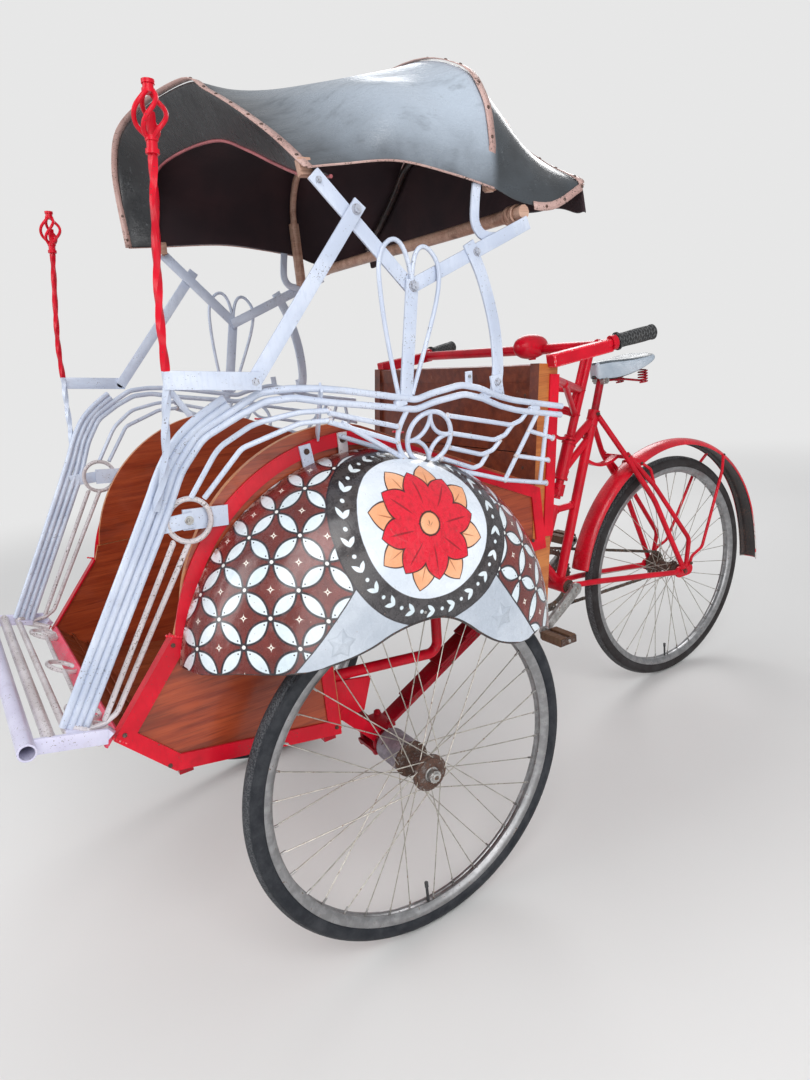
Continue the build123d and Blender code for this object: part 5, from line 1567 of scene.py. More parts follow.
def makeSides(values):
    def panelPick(x, y, z, normal):
        if abs(normal.y) < 0.5:
            return 2
        return int(z < values["splitHeight"])

    def bandPick(x, y, z, normal):
        tabX, low, high = values["bandTab"]
        left, right, floor, top = values["ringTab"]
        onTab = abs(x - tabX) < 15 and low < z < high or left < x < right and floor < z < top
        return int(onTab and abs(y) > sideFace + 0.6)

    for side, end in bothSides:
        softened("side_panels_" + end, 0.9, ["boardWood", "legWood", "cutWood"],
                 pick=panelPick, worn="cutWood")
        # The band's eased edges take the paler red: painted highlight along them, with wear
        softened("side_frame_" + end, 0.9, ["redPaint", "palePaint"], 3, pick=bandPick,
                 worn="redWorn")
        # White tab on the band, bolts, and weld nicks where the bars of the band join
        bm = bmesh.new()
        addBar(bm, outboard(36, 2.2, 1001, side), outboard(37, 2.2, 962, side), 19, 4.2)
        softenEdges(bm, 1)
        piece("band_tab_" + end, bm, "cab", "creamPaint")
        bm = bmesh.new()
        for x, out, z, size in values["bandBolts"]:
            addBolt(bm, outboard(x, out, z, side), (0, side, 0), size, size * 0.5, 1.35)
        for x, z in values["frameBolts"]:
            addBolt(bm, outboard(x, 0, z, side), (0, side, 0), 7, 2.4, 1.1)
        piece("band_bolts_" + end, bm, "cab", "rustSteel", (), 30)
        bm = bmesh.new()
        for x, z, lean in values["nicks"]:
            for i in range(6):
                spot = outboard(x - 11 + i * 4.4, -0.4, z + (i - 2.5) * 4.4 * lean, side)
                addBead(bm, spot, chance.uniform(0.0021, 0.0030))
        # The weld nicks are in the paler red: painted highlight, with wear
        piece("band_welds_" + end, bm, "cab", "redWorn", (), 80)


def makeFloorAndBack(values):
    softened("floor_boards", 0.8, ["crossWood", "cutWood"],
             pick=lambda x, y, z, normal: int(abs(normal.y) > 0.8))
    # The cross angles below 500 mm take the red in painted shade, the sill the pink paint
    softened("floor_frame", 1.2, ["pinkPaint", "redShade"], 3,
             pick=lambda x, y, z, normal: int(z < 500))
    softened("seat_board", 0.8, "crossWood")
    softened("back_panel", 0.9, ["backWood", "orangeWood"],
             pick=lambda x, y, z, normal: int(abs(y) > values["postOuter"]))
    softened("seat_frame", 1.3, "redPaint", 2)
    # Screws through the back boards
    bm = bmesh.new()
    for y, z in values["screws"]:
        addBolt(bm, place(backX(z) + 9.2, y, z), (1, 0, 0.127), 5, 1.2, 1.3)
    piece("back_screws", bm, "cab", "rustSteel", (), 30)
    # Thin battens over the toe board's seams and across the back
    bm = bmesh.new()
    for share in values["toeSeams"]:
        start, end = (place(425 + 83 * share, y, 485 + 86 * share) + Vector((-0.010, 0, 0.0095))
                      for y in (-326, 326))
        addBar(bm, start, end, 7, 1.6, (-0.72, 0, 0.69))
    softenEdges(bm, 0.5)
    piece("toe_battens", bm, "cab", "crossWood")
    bm = bmesh.new()
    addBar(bm, place(backX(881) - 12.6, -312, 881), place(backX(881) - 12.6, 312, 881), 32, 8, (1, 0, 0.127))
    softenEdges(bm, 0.8)
    piece("back_batten", bm, "cab", "backWood")


makeSides(cabValues)
makeFloorAndBack(cabValues)
print("cab sides, floor and back are boarded")

# Leaf springs
springValues = {
    "y": 270,
    "width": 45,
    "leaf": 7,
    "top": [(34, 373), (-6, 373.3), (-20, 375), (-34, 381), (-392, 566)],
    "bend": (-20, 373),    # where the slope starts
    # Share of the slope where each shorter leaf starts, and its layer
    "short": [(0.16, 1), (0.40, 2), (0.60, 3)],
    "clamp": (21, 7, 9),    # reach, wall and bolt
}


def makeSprings(values):
    bm, steel = bmesh.new(), bmesh.new()

    def leaf(points):
        addStrap(bm, [spot - Vector((0, values["width"] / 2000, 0)) for spot in points], values["leaf"] - 0.5,
                 values["width"])

    bend, perch = Vector(values["bend"]), Vector(values["top"][-1])
    slope = perch - bend
    lift = Vector((-slope.y, slope.x)).normalized() * -values["leaf"]
    reach, wall, bolt = values["clamp"]
    for y in (values["y"], -values["y"]):
        leaf(smoothLine([place(x, y, z) for x, z in values["top"]], 5))
        for share, layer in values["short"]:
            first, last = bend + slope * share + lift * layer, perch + lift * layer
            leaf([place(first.x, y, first.y), place(last.x, y, last.y)])
        # Strap round the leaves, well up their slope
        spot = bend + slope * 0.72 + lift * 1.5
        turn = slope.normalized() * 9
        addBar(bm, place(spot.x - turn.x, y, spot.y - turn.y), place(spot.x + turn.x, y, spot.y + turn.y),
               33, values["width"] + 7)
        for z in (380, 338):
            addBar(bm, place(-29, y, z), place(29, y, z), values["width"] + 22, wall, (0, 0, 1))
        for x in (-reach, reach):
            for s in (1, -1):
                boltY = y + s * (values["width"] + bolt + 2) / 2
                addPin(steel, Matrix.Translation(place(x, boltY, 359)), bolt / 2, 62)
                for z, up in ((383.5, 1), (334.5, -1)):
                    addBolt(steel, place(x, boltY, z), (0, 0, up), 13, 6, 1.3)
    addBar(bm, place(-390, -328, 598), place(-390, 328, 598), 30, 30, (0, 0, 1))
    softenEdges(bm, 0.7)
    # Leaves, clamps and bolts take the red in painted shade
    piece("spring_leaves", bm, "cab", "redShade", ["springs"], 35)
    piece("spring_bolts", steel, "cab", "redShade", (), 30)


makeSprings(springValues)
print("springs are stacked")

# Seat cushion
seatValues = {
    "middle": (-135, 0, 742.6),
    "size": (446, 632, 58),
    "round": 18,
    "voxel": 0.006,
    "pressure": 4.0,
    "frames": 20,
    "cap": 0.013,
    "channels": [-0.16, 0.0, 0.16],
}


def seatFinish(name):
    # Dark red leather cloth, with a fine grain and rubbed patches
    paint = Finish(name, coat=0.2, coatRoughness=0.25)
    cloud = paint.noise(6, 4)
    grain = paint.noise(520, 3, 0.6, shift=2)
    crease = paint.noise(34, 5, 0.7, (1, 1.4, 1), shift=5)
    rubbed = paint.noise(18, 5, 0.75, shift=8)
    base = paint.mix(cloud.band(0.35, 0.65), (0.150, 0.008, 0.012), (0.235, 0.014, 0.018))
    base = paint.mix(crease.band(0.52, 0.74) * 0.5, base, (0.085, 0.006, 0.010))
    base = paint.mix(rubbed.band(0.60, 0.70) * 0.4, base, (0.33, 0.10, 0.09))
    paint.set("Base Color", base)
    paint.set("Roughness", 0.36 + crease.band(0.4, 0.7) * 0.2 + rubbed.band(0.55, 0.7) * 0.2)
    paint.bump(grain * 0.3 + crease * 0.9, 0.0016, 0.6)
    return paint.material


def makeSeat(values):
    lx, ly, lz = (v / 1000 for v in values["size"])
    middle = place(*values["middle"])
    bm = bmesh.new()
    bmesh.ops.create_cube(bm, size=1, matrix=Matrix.Translation(middle) @ Matrix.Diagonal((lx, ly, lz, 1)))
    softenEdges(bm, values["round"], 3)
    cushion = linked("seat_cushion_pad", meshOf("seat_cushion_pad", bm))

    def settle():
        # The cushion keeps the mesh that its modifiers give
        ready = finalMesh(cushion)
        cushion.modifiers.clear()
        cushion.data = ready
        return ready

    remesh = cushion.modifiers.new("even", "REMESH")
    remesh.mode = "VOXEL"
    remesh.voxel_size = values["voxel"]
    mesh = settle()
    before = [v.co.copy() for v in mesh.vertices]
    # The underside rests on the board, so it is held
    under = cushion.vertex_groups.new(name="held")
    under.add([v.index for v in mesh.vertices if v.co.z < middle.z - lz / 2 + 0.004], 1.0, "REPLACE")
    cloth = cushion.modifiers.new("swell", "CLOTH")
    cloth.settings.vertex_group_mass = "held"
    cloth.settings.use_pressure = True
    cloth.settings.uniform_pressure_force = values["pressure"]
    cloth.settings.effector_weights.gravity = 0
    cloth.settings.quality = 6
    scene = bpy.context.scene
    for number in range(1, values["frames"] + 1):
        scene.frame_set(number)
    mesh = settle()
    scene.frame_set(1)
    for v, start in zip(mesh.vertices, before):
        moved = v.co - start
        if moved.length > values["cap"]:
            v.co = start + moved.normalized() * values["cap"]
    # Sewn channels run from front to back, and a seam follows the top edge
    top = middle.z + lz / 2
    for v in mesh.vertices:
        rise = max(0.0, (v.co.z - (top - 0.02)) / 0.02)
        for channel in values["channels"]:
            gap = abs(v.co.y - channel) / 0.012
            if gap < 1:
                v.co.z -= 0.0065 * (1 - gap) ** 2 * min(rise, 1)
    bpy.data.objects.remove(cushion)
    pad = dress("seat_cushion_pad", mesh, "cab", "seatLeather", ["seat_cushion"], 180)
    smoothed(pad)
    # Piping lies on the swollen surface along the box's top and bottom edges
    loops, corner = [], 0.03
    halfX, halfY = lx / 2 - 0.004, ly / 2 - 0.004
    for z in (top - 0.004, middle.z - lz / 2 + 0.006):
        loop = []
        for cx, cy, start in [(1, 1, 0), (-1, 1, 90), (-1, -1, 180), (1, -1, 270)]:
            for step in range(0, 91, 15):
                turn = math.radians(start + step)
                loop.append((cx * (halfX - corner) + corner * math.cos(turn),
                             cy * (halfY - corner) + corner * math.sin(turn)))
        full = []
        for (ax, ay), (bx, by) in zip(loop, loop[1:] + loop[:1]):
            count = max(1, int(math.hypot(bx - ax, by - ay) / 0.03))
            full += [(ax + (bx - ax) * i / count, ay + (by - ay) * i / count) for i in range(count)]
        spots = []
        for px, py in full:
            found = pad.closest_point_on_mesh(Vector((middle.x + px * 1.02, middle.y + py * 1.02, z)))
            spots.append(found[1] + found[2] * 0.001)
        loops.append((spots, 6.5, "closed"))
    rods("seat_piping", loops, "cab", "pipingLeather", (), 2)


addFinish(seatFinish, "seatLeather")
makeSeat(seatValues)
print("seat is sewn")

# Push bar and grips
def addCollar(bm, start, end, bore, radius):
    # A short sleeve with softened rims round the line from start to end
    along = (end - start).normalized()
    length = (end - start).length * 1000
    spun(bm, [(0, bore), (0, radius - 0.8), (0.8, radius), (length - 0.8, radius), (length, radius - 0.8),
              (length, bore)], start, 32, True, along, squareTo(along))


def addWeld(bm, centre, direction, radius, size=2.8, count=14):
    # A ring of weld round a tube
    along = Vector(direction).normalized()
    first = squareTo(along)
    second = along.cross(first)
    for i in range(count):
        turn = 2 * math.pi * i / count
        spot = centre + (first * math.cos(turn) + second * math.sin(turn)) * radius / 1000
        addBead(bm, spot, size * chance.uniform(0.85, 1.2) / 1000, segments=8)


pushValues = {
    "arm": ((-467, 350, 1073), (-641, 350, 1089), 28),
    "handle": ((-618, 352, 1091), (-743, 379, 1107), 22),
    "bar": (-622, 352, 1090, 24),
    "horn": (-600, 142, 1099),
    "hornProfile": [(-49, 0.02), (-48, 5), (-45, 11), (-38, 18), (-27, 24), (-13, 27.6), (0, 28.6),
                    (13, 28), (27, 25), (38, 19.5), (44, 13.5), (47, 8), (48, 0.02)],
    "grip": ((-652, 359, 1096), (-748, 380, 1108)),
    "gripProfile": [(0, 11.1), (0, 18.4), (1.5, 19.6), (4.5, 19.6), (6, 18.2), (8, 15.9), (22, 15.4),
                    (45, 16.2), (70, 16.4), (88, 15.8), (93, 17.0), (97, 16.8), (99.2, 14.5), (99.6, 11.1)],
}


def gripFinish(name):
    # Scaly moulded rubber: rows of small cells round the grip's own axis, the raised cells painted lighter as
    # a highlight
    paint = Finish(name, roughness=0.62)
    cloud = paint.noise(40, 5, 0.7)
    x, y, z = paint.split(paint.coords)
    along = (axleX - 652 - x * 1000) / 96
    across = abs(y) * 1000 - (along * 21 + 359)
    height = z * 1000 - (along * 12 + 1096)
    turn = across.math("ARCTAN2", height, across)
    rows = (along * 96 * (2 * math.pi / 6.4)).sine()
    cells = (turn * 9 + (along * 96 * (math.pi / 6.4)).sine() * 1.6).sine()
    scale = (rows * 0.5 + cells * 0.5).band(-0.6, 0.7)
    # Painted highlight on the raised cells and painted shade between them
    base = paint.mix(scale, (0.012, 0.012, 0.013), (0.075, 0.078, 0.080))
    paint.set("Base Color", paint.mix(cloud.band(0.5, 0.75) * 0.3, base, (0.16, 0.155, 0.145)))
    paint.bump(scale, 0.0022, 1.0)
    return paint.material


def makePushBar(values):
    def ends(key, s):
        # Start and end of a tube on one side, and its size if it has one
        (ax, ay, az), (bx, by, bz), *size = values[key]
        return place(ax, s * ay, az), place(bx, s * by, bz), *size

    boxes, seams = bmesh.new(), bmesh.new()
    x, half, z, size = values["bar"]
    runs = [([place(x, -half, z), place(x, half, z)], size, None)]
    for s in (1, -1):
        start, end, arm = ends("arm", s)
        addBar(boxes, start, end, arm, arm)
        first, last, pipe = ends("handle", s)
        runs.append(([first, last], pipe, None))
        addWeld(seams, end + (last - first).normalized() * 0.002, last - first, pipe / 2 + 0.6)
        addWeld(seams, place(x, s * 334, z), (0, 1, 0), size / 2 + 0.6)
        addCollar(boxes, first + (last - first) * 0.16, first + (last - first) * 0.26, 11, 16.5)
    rods("push_bar_tubes", runs, "cab", "redPaint", ["push_bar"], 6)
    # The arms' eased edges take the paler red: painted highlight along them, with wear
    ease(piece("push_bar_arms", boxes, "cab", ["redPaint", "redWorn"]), 3.2, 3, 60, 1)
    piece("push_bar_welds", seams, "cab", "redPaint", (), 80)
    x, y, z = values["horn"]
    bm = bmesh.new()
    spun(bm, values["hornProfile"], place(x, y, z), 48, False, (1, 0, 0), (0, 0, 1))
    addCollar(bm, place(x - 2, y, z - 31), place(x - 2, y, z - 20), 2, 9)
    piece("push_bar_horn", bm, "cab", "redPaint", (), 40)
    bm, caps = bmesh.new(), bmesh.new()
    for s in (1, -1):
        start, end = ends("grip", s)
        along = (end - start).normalized()
        spun(bm, values["gripProfile"], start, 40, True, along, along.cross(Vector((0, 0, 1))).normalized())
        addCollar(caps, end - along * 0.006, end + along * 0.0008, 0.02, 11.3)
        addCollar(caps, start - along * 0.007, start, 11, 16)
    piece("grips_moulded", bm, "cab", "gripScales", ["grips"], 50)
    piece("grip_ends", caps, "cab", "gripRubber", (), 40)


addFinish(gripFinish, "gripScales")
makePushBar(pushValues)
print("push bar is made")


# Steering post and cycle frame
def steerX(z):
    return -700 - 0.395904 * (z - 452)


def onSteer(z, ahead=0):
    return place(steerX(z) + ahead, 0, z)


frameValues = {
    "bracket": (-783, 420),
    "cluster": (-945, 884),
    "axle": (-1246, 355.5),
    "dropout": 66,
    "headTube": (722, 824),
    "collar": (680, 711),
    "scroll": (878, 42),
    # Braces: height on the post and how far ahead of it, other end, size
    "braces": [((695.5, 6), (-390, 240, 687.5), 20), ((961, 4), (-491, 316, 1038), 20),
               ((896, 4), (-652, 197, 1004), 16)],
}


def makeSteeringPost(values):
    low, high = values["collar"]
    runs = [([onSteer(672), onSteer(1062)], 24, None),
            ([onSteer(893, 14), onSteer(908, 20), onSteer(1060, 20)], 15, 8)]
    for post, (x, y, z), size in values["braces"]:
        for s in (1, -1):
            runs.append(([onSteer(*post), place(x, s * y, z)], size, None))
    z, radius = values["scroll"]
    runs.append((circle(onSteer(z, radius), radius, (0, 1, 0)), 10, "closed"))
    rods("steering_tubes", runs, "cab", "redPaint", ["steering_post"], 5)
    bm = bmesh.new()
    addCollar(bm, onSteer(low), onSteer(high), 12, 18)
    addCollar(bm, onSteer(1056), onSteer(1064), 6, 13.4)
    addCollar(bm, onSteer(828), onSteer(835), 12, 16.5)
    piece("steering_collars", bm, "cab", "redPaint", (), 40)
    bm = bmesh.new()
    for s in (1, -1):
        addWeld(bm, place(-491, s * 316, 1038), (1, s * 1.6, 0.4), 10)
        addWeld(bm, place(-652, s * 197, 1004), (1, -s * 1.2, 0.7), 8)
    for z in (695, 961, 896, 838):
        addWeld(bm, onSteer(z, 3), (-0.37, 0, 0.93), 12.4)
    piece("steering_welds", bm, "cab", "redPaint", (), 80)
    # Flat gussets that tie the upper braces to the back
    bm = bmesh.new()
    for s in (1, -1):
        addBar(bm, place(-488, s * 322, 1066), place(-483, s * 322, 962), 40, 5)
    softenEdges(bm, 1.2)
    piece("steering_gussets", bm, "cab", "redPaint")


def makeCycleFrame(values):
    (bx, bz), (sx, sz) = values["bracket"], values["cluster"]
    (ax, az), out = values["axle"], values["dropout"]
    tieX = bx + (sx - bx) * (640 - bz) / (sz - bz)
    runs = [
        ([onSteer(492), onSteer(655)], 28, None),
        ([place(sx - 4, 0, sz + 12), place(bx, 0, bz)], 28, None),
        ([place(sx, 0, sz - 10), onSteer(808)], 24, None),
        ([place(sx + 22, 0, sz - 62), onSteer(738)], 20, None),
        ([place(bx, 0, bz), onSteer(506)], 24, None),
        ([place(tieX, 0, 640), onSteer(640)], 20, None),
        ([place(-1030, -44, 752), place(-1030, 44, 752)], 12, None),
        ([place(ax, -78, az), place(ax, 78, az)], 10, None),
    ]
    for s in (1, -1):
        runs += [
            ([place(sx - 5, s * 14, sz - 4), place(-1023, s * 45, 757), place(-1133, s * 54, 603),
              place(ax, s * out, az + 8)], 16, 40),
            ([place(-1027, s * 47, 762), place(-1137, s * 52, 646), place(ax - 34, s * 62, az + 96),
              place(ax - 12, s * out, az + 6)], 14, 30),
            ([place(bx - 10, s * 26, bz - 4), place(-905, s * 40, 404), place(ax, s * out, az - 4)], 17, 50),
        ]
    rods("cycle_tubes", runs, "cycle", "redPaint", ["cycle_frame"], 6)
    bm, steel = bmesh.new(), bmesh.new()
    low, high = values["headTube"]
    addCollar(bm, onSteer(low), onSteer(high), 12.3, 17.6)
    addCollar(bm, onSteer(low), onSteer(low + 7), 12.3, 20.4)
    addCollar(bm, onSteer(high - 7), onSteer(high), 12.3, 20.4)
    # Lug at the seat cluster and the bracket shell
    seat = (place(sx, 0, sz) - place(bx, 0, bz)).normalized()
    addCollar(bm, place(sx, 0, sz) - seat * 0.030, place(sx, 0, sz) + seat * 0.014, 10, 16.6)
    spun(bm, [(-36, 8.3), (-36, 20), (-34.5, 21.5), (34.5, 21.5), (36, 20), (36, 8.3)], place(bx, 0, bz), 40)
    for s in (1, -1):
        plate = []
        for cx, start in ((ax + 18, -90), (ax - 24, 90)):
            plate += [place(cx + 18 * math.cos(math.radians(start + a)), s * (out - 3),
                            az + 18 * math.sin(math.radians(start + a))) for a in range(0, 181, 20)]
        addPlate(bm, plate, 6, (0, s, 0))
    line = smoothLine([place(x, 11, z) for x, z in [(-903, 762), (-930, 747), (-962, 738), (-1000, 741),
                                                    (-1030, 752)]], 5)
    addStrap(bm, line, 9, 22, (0, -1, 0))
    piece("cycle_lugs", bm, "cycle", "redPaint", (), 40)
    for s in (1, -1):
        addBolt(steel, place(ax, s * (out + 3), az), (0, s, 0), 15, 8, 1.35)
        addBolt(steel, place(-1030, s * 47, 757), (0, s, 0), 10, 6, 1.3)
        cup = [(s * a, r) for a, r in [(36, 8.3), (36, 19), (38.5, 19.5), (41, 17), (41, 8.3)]]
        spun(steel, cup, place(bx, 0, bz), 32)
    addBolt(steel, place(sx + 2, 19, sz + 4), (0, 1, 0), 8, 6, 1.3)
    piece("cycle_nuts", steel, "cycle", "rustSteel", (), 30)
    bm = bmesh.new()
    for spot, direction, radius in [
        (onSteer(808, -14), (1, 0, 0.6), 12.2), (onSteer(738, -14), (1, 0, 0.6), 10.2),
        (onSteer(508, -10), (1, 0, 1), 12.4), (onSteer(640, -12), (1, 0, 0), 10.2),
        (place(tieX + 13, 0, 640), (1, 0, 0), 10.2), (place(sx + 34, 0, sz - 53), (1, 0, 0.4), 10.2),
        (place(sx + 12, 0, sz - 14), (1, 0, -0.4), 12.2),
    ]:
        addWeld(bm, spot, direction, radius)
    for s in (1, -1):
        addWeld(bm, place(ax + 16, s * (out - 1), az + 2), (1, 0, 0.1), 8.6, 2.6, 10)
        addWeld(bm, place(ax + 4, s * out, az + 22), (-0.3, 0, 1), 8.2, 2.6, 10)
    piece("cycle_welds", bm, "cycle", "redPaint", (), 80)


makeSteeringPost(frameValues)
makeCycleFrame(frameValues)
print("cycle frame is brazed")

# Rear fender
guardValues = {
    "centre": (-1263, 341),
    "radius": 424,
    "wall": 2.2,
    # half width, drop below the crest
    "section": [(31.5, 20), (32, 17), (30.5, 12.5), (26, 7), (19, 3), (10, 0.8), (0, 0)],
    "tip": (-1695, 280),
    "tailFrom": 166,
    "stayEnds": [(math.radians(67), 412), (math.radians(124), 410)],    # angle round the centre, reach
}


def guardPaint(name):
    # Red enamel whose tail edge has worn to bare pale metal
    paint = Finish(name, coat=0.16, coatRoughness=0.1)
    paint.set("Specular IOR Level", 0.35)
    cloud = paint.noise(11, 4)
    stroke = paint.noise(160, 2, 0.6, (1, 1, 0.3), (0.2, 0.1, 0))
    patch = paint.noise(40, 6, 0.72, shift=3)
    speck = paint.noise(300, 2, 0.6, shift=7)
    x, y, z = paint.split(paint.coords)
    base = paint.mix(cloud.band(0.35, 0.68), (0.48, 0.006, 0.018), (0.72, 0.012, 0.030))
    base = paint.mix(stroke.band(0.5, 0.7) * 0.3, base, (0.55, 0.008, 0.02))
    base = paint.mix(patch.band(0.58, 0.76) * 0.4, base, (0.26, 0.012, 0.014))
    tail = x.band(-1.120, -1.150) * z.band(0.475, 0.43)
    edge = abs(y).band(0.017, 0.023) * tail
    base = paint.mix(edge * patch.band(0.36, 0.42), base, (0.66, 0.64, 0.62))
    base = paint.mix((speck + edge * 0.1).band(0.70, 0.73), base, (0.20, 0.08, 0.06))
    paint.set("Base Color", base)
    paint.set("Roughness", 0.26 + patch.band(0.5, 0.75) * 0.3)
    paint.bump(stroke * 0.4 + cloud * 0.6, 0.0006, 0.5)
    return paint.material


def guardLine(values, angles, tail=True):
    # Stations along the crest with their outward directions
    cx, cz = values["centre"]
    line = []
    for a in angles:
        turn = math.radians(a)
        line.append((cx + values["radius"] * math.cos(turn), cz + values["radius"] * math.sin(turn)))
    # The tail leaves the circle on a flatter arc to its tip
    turn = math.radians(values["tailFrom"])
    start = Vector((cx + values["radius"] * math.cos(turn), cz + values["radius"] * math.sin(turn)))
    along, inward = Vector((-math.sin(turn), math.cos(turn))), Vector((-math.cos(turn), -math.sin(turn)))
    chord = Vector(values["tip"]) - start
    bend = chord.length_squared / (2 * chord.dot(inward)) if abs(chord.dot(inward)) > 1e-6 else 1e6
    middle = start + inward * bend
    sweep = 2 * math.asin(max(-1, min(1, chord.length / (2 * abs(bend))))) * (1 if bend > 0 else -1)
    for i in range(1, 9 if tail else 1):
        part = sweep * i / 8
        spoke = start - middle
        line.append((middle.x + spoke.x * math.cos(part) - spoke.y * math.sin(part),
                     middle.y + spoke.x * math.sin(part) + spoke.y * math.cos(part)))
    spots = [place(x, 0, z) for x, z in line]
    return spots, [Vector((0, 1, 0)).cross(heading(spots, i)) for i in range(len(spots))]


def channel(spots, outs, section, lift=0.0):
    # A bent channel through the stations
    across = mirrored(section)
    rows = [[spot + Vector((0, half, 0)) / 1000 + out * (lift - drop) / 1000 for half, drop in across]
            for spot, out in zip(spots, outs)]
    return draped(rows, Vector((0, 0, 1)))


def makeRearFender(values):
    bm = channel(*guardLine(values, range(14, values["tailFrom"] + 1, 4)), values["section"])
    shell = piece("rear_fender_shell", bm, "cycle", ["guardPaint", "darkHem"], ["rear_fender"], 60)
    thicken(shell, values["wall"], inner=1)
    smoothed(shell)
    # Band clamp over the fender where the stays meet it
    bm = channel(*guardLine(values, [65.4, 66.5, 67.5, 68.6], False), values["section"], 1.6)
    thicken(piece("rear_fender_band", bm, "cycle", "redPaint", (), 60), 2.2, 1)
    runs = []
    cx, cz = values["centre"]
    (strapX, strapZ), (stayX, stayZ) = ((cx + reach * math.cos(a), cz + reach * math.sin(a))
                                        for a, reach in values["stayEnds"])
    for s in (1, -1):
        runs.append(([place(-1134, s * 52, 655), place(-1122, s * 50, 700), place(-1106, s * 38, 717),
                      place(strapX, s * 31, strapZ)], 9, 14))
        runs.append(([place(-1270, s * 70, 365.5), place(-1283, s * 70, 396), place(-1335, s * 68, 413),
                      place(-1459, s * 50, 634), place(stayX, s * 31, stayZ)], 9.5, 22))
    rods("rear_fender_stays", runs, "cycle", "redPaint", (), 4)
    bm = bmesh.new()
    for s in (1, -1):
        addBolt(bm, place(stayX, s * 33, stayZ), (0, s, 0), 7, 3.5, 1.3)
        addBolt(bm, place(strapX, s * 35, strapZ), (0, s, 0), 7, 3.5, 1.3)
        addBolt(bm, place(-1274, s * 74, 375), (0, s, 0), 8, 4, 1.3)
    piece("rear_fender_bolts", bm, "cycle", "rustSteel", (), 30)


addFinish(guardPaint, "guardPaint")
makeRearFender(guardValues)
print("rear fender is rolled")

# Saddle
saddleValues = {
    # X, half width, top, bottom
    "stations": [(-951, 12, 1026, 984), (-957, 19, 1030, 979), (-985, 24, 1032, 977),
                 (-1015, 30, 1032, 976), (-1042, 42, 1031, 980), (-1068, 60, 1032, 990),
                 (-1095, 76, 1035, 1005), (-1120, 75, 1038, 1017), (-1138, 56, 1039, 1023),
                 (-1146, 30, 1037, 1025)],
    "springs": [(-1102, 44), (-1102, -44)],
}


def saddleFinish(name, first, second, worn):
    paint = Finish(name, coat=0.25, coatRoughness=0.2)
    cloud = paint.noise(12, 4)
    crease = paint.noise(60, 5, 0.7, (1, 1, 0.5), shift=4)
    scuff = paint.noise(110, 6, 0.8, shift=8)
    base = paint.mix(cloud.band(0.35, 0.65), first, second)
    base = paint.mix(crease.band(0.55, 0.75) * 0.4, base, [c * 0.6 for c in first])
    base = paint.mix(scuff.band(0.62, 0.70) * 0.6, base, worn)
    paint.set("Base Color", base)
    paint.set("Roughness", 0.34 + crease.band(0.4, 0.7) * 0.2)
    paint.bump(crease, 0.0012, 0.6)
    return paint.material


def makeSaddle(values):
    bm = bmesh.new()
    rings = []
    for x, w, t, b in values["stations"]:
        half = [(w, b), (1.03 * w, (t + b) / 2), (0.95 * w, t - 5), (0.56 * w, t)]
        across = [(-0.84 * w, b + 4), *[(-y, z) for y, z in half], (0, t - 1), *half[::-1],
                  (0.84 * w, b + 4), (0, b + 9)]
        rings.append([place(x, y, z) for y, z in across])
    skin(bm, rings)
    for face in bm.faces:
        face.material_index = 1 if face.normal.z > 0.7 else 2 if face.normal.z < -0.6 else 0
    saddle = piece("saddle_body", bm, "cycle", ["saddlePale", "saddleTop", "gripRubber"], ["saddle"], 180,
                   "saddle_cover")
    smoothed(saddle, 2)
    # Post, rails and coil springs
    runs = [([place(-951, 0, 894), place(-979, 0, 978.7)], 22, None)]
    for s in (1, -1):
        runs.append(([place(-962, s * 9, 990), place(-985, s * 12, 976), place(-1050, s * 16, 973),
                      place(-1102, s * 44, 962)], 6.5, 12))
    for x, y in values["springs"]:
        coil = []
        for i in range(41):
            turn = 2 * math.pi * i / 8
            coil.append(place(x + 13 * math.cos(turn), y + 13 * math.sin(turn), 958 + i * 0.92))
        runs.append((coil, 4.6, None))
    # Post, rails and springs take the red in painted shade
    rods("seat_post_and_springs", runs, "cycle", "redShade", ["seat_post"], 3)
    bm = bmesh.new()
    addBar(bm, place(-979, -21, 977), place(-979, 21, 977), 20, 20, (1, 0, 0))
    softenEdges(bm, 3)
    for s in (1, -1):
        addBolt(bm, place(-979, s * 21, 977), (0, s, 0), 13, 6, 1.3)
    piece("saddle_clamp", bm, "cycle", "nutSteel", (), 35)


addFinish(saddleFinish, "saddlePale", (0.33, 0.39, 0.46), (0.46, 0.52, 0.58), (0.62, 0.66, 0.70))
addFinish(saddleFinish, "saddleTop", (0.045, 0.060, 0.075), (0.12, 0.145, 0.17), (0.30, 0.35, 0.40))
makeSaddle(saddleValues)
print("saddle is covered")

# Crank, pedals and chain
driveValues = {
    "bracket": (-783, 420),
    "wheel": (-1246, 355.5),
    "chainY": -50,
    "ring": (76, 90, 3),
    "teeth": 44,
    "crank": (165, -35),    # length, and the left arm's angle
    "pedalShare": 0.95,    # of the crank's length
    "pitch": 12.7,
    "rollers": (95.0, 39.2),
}


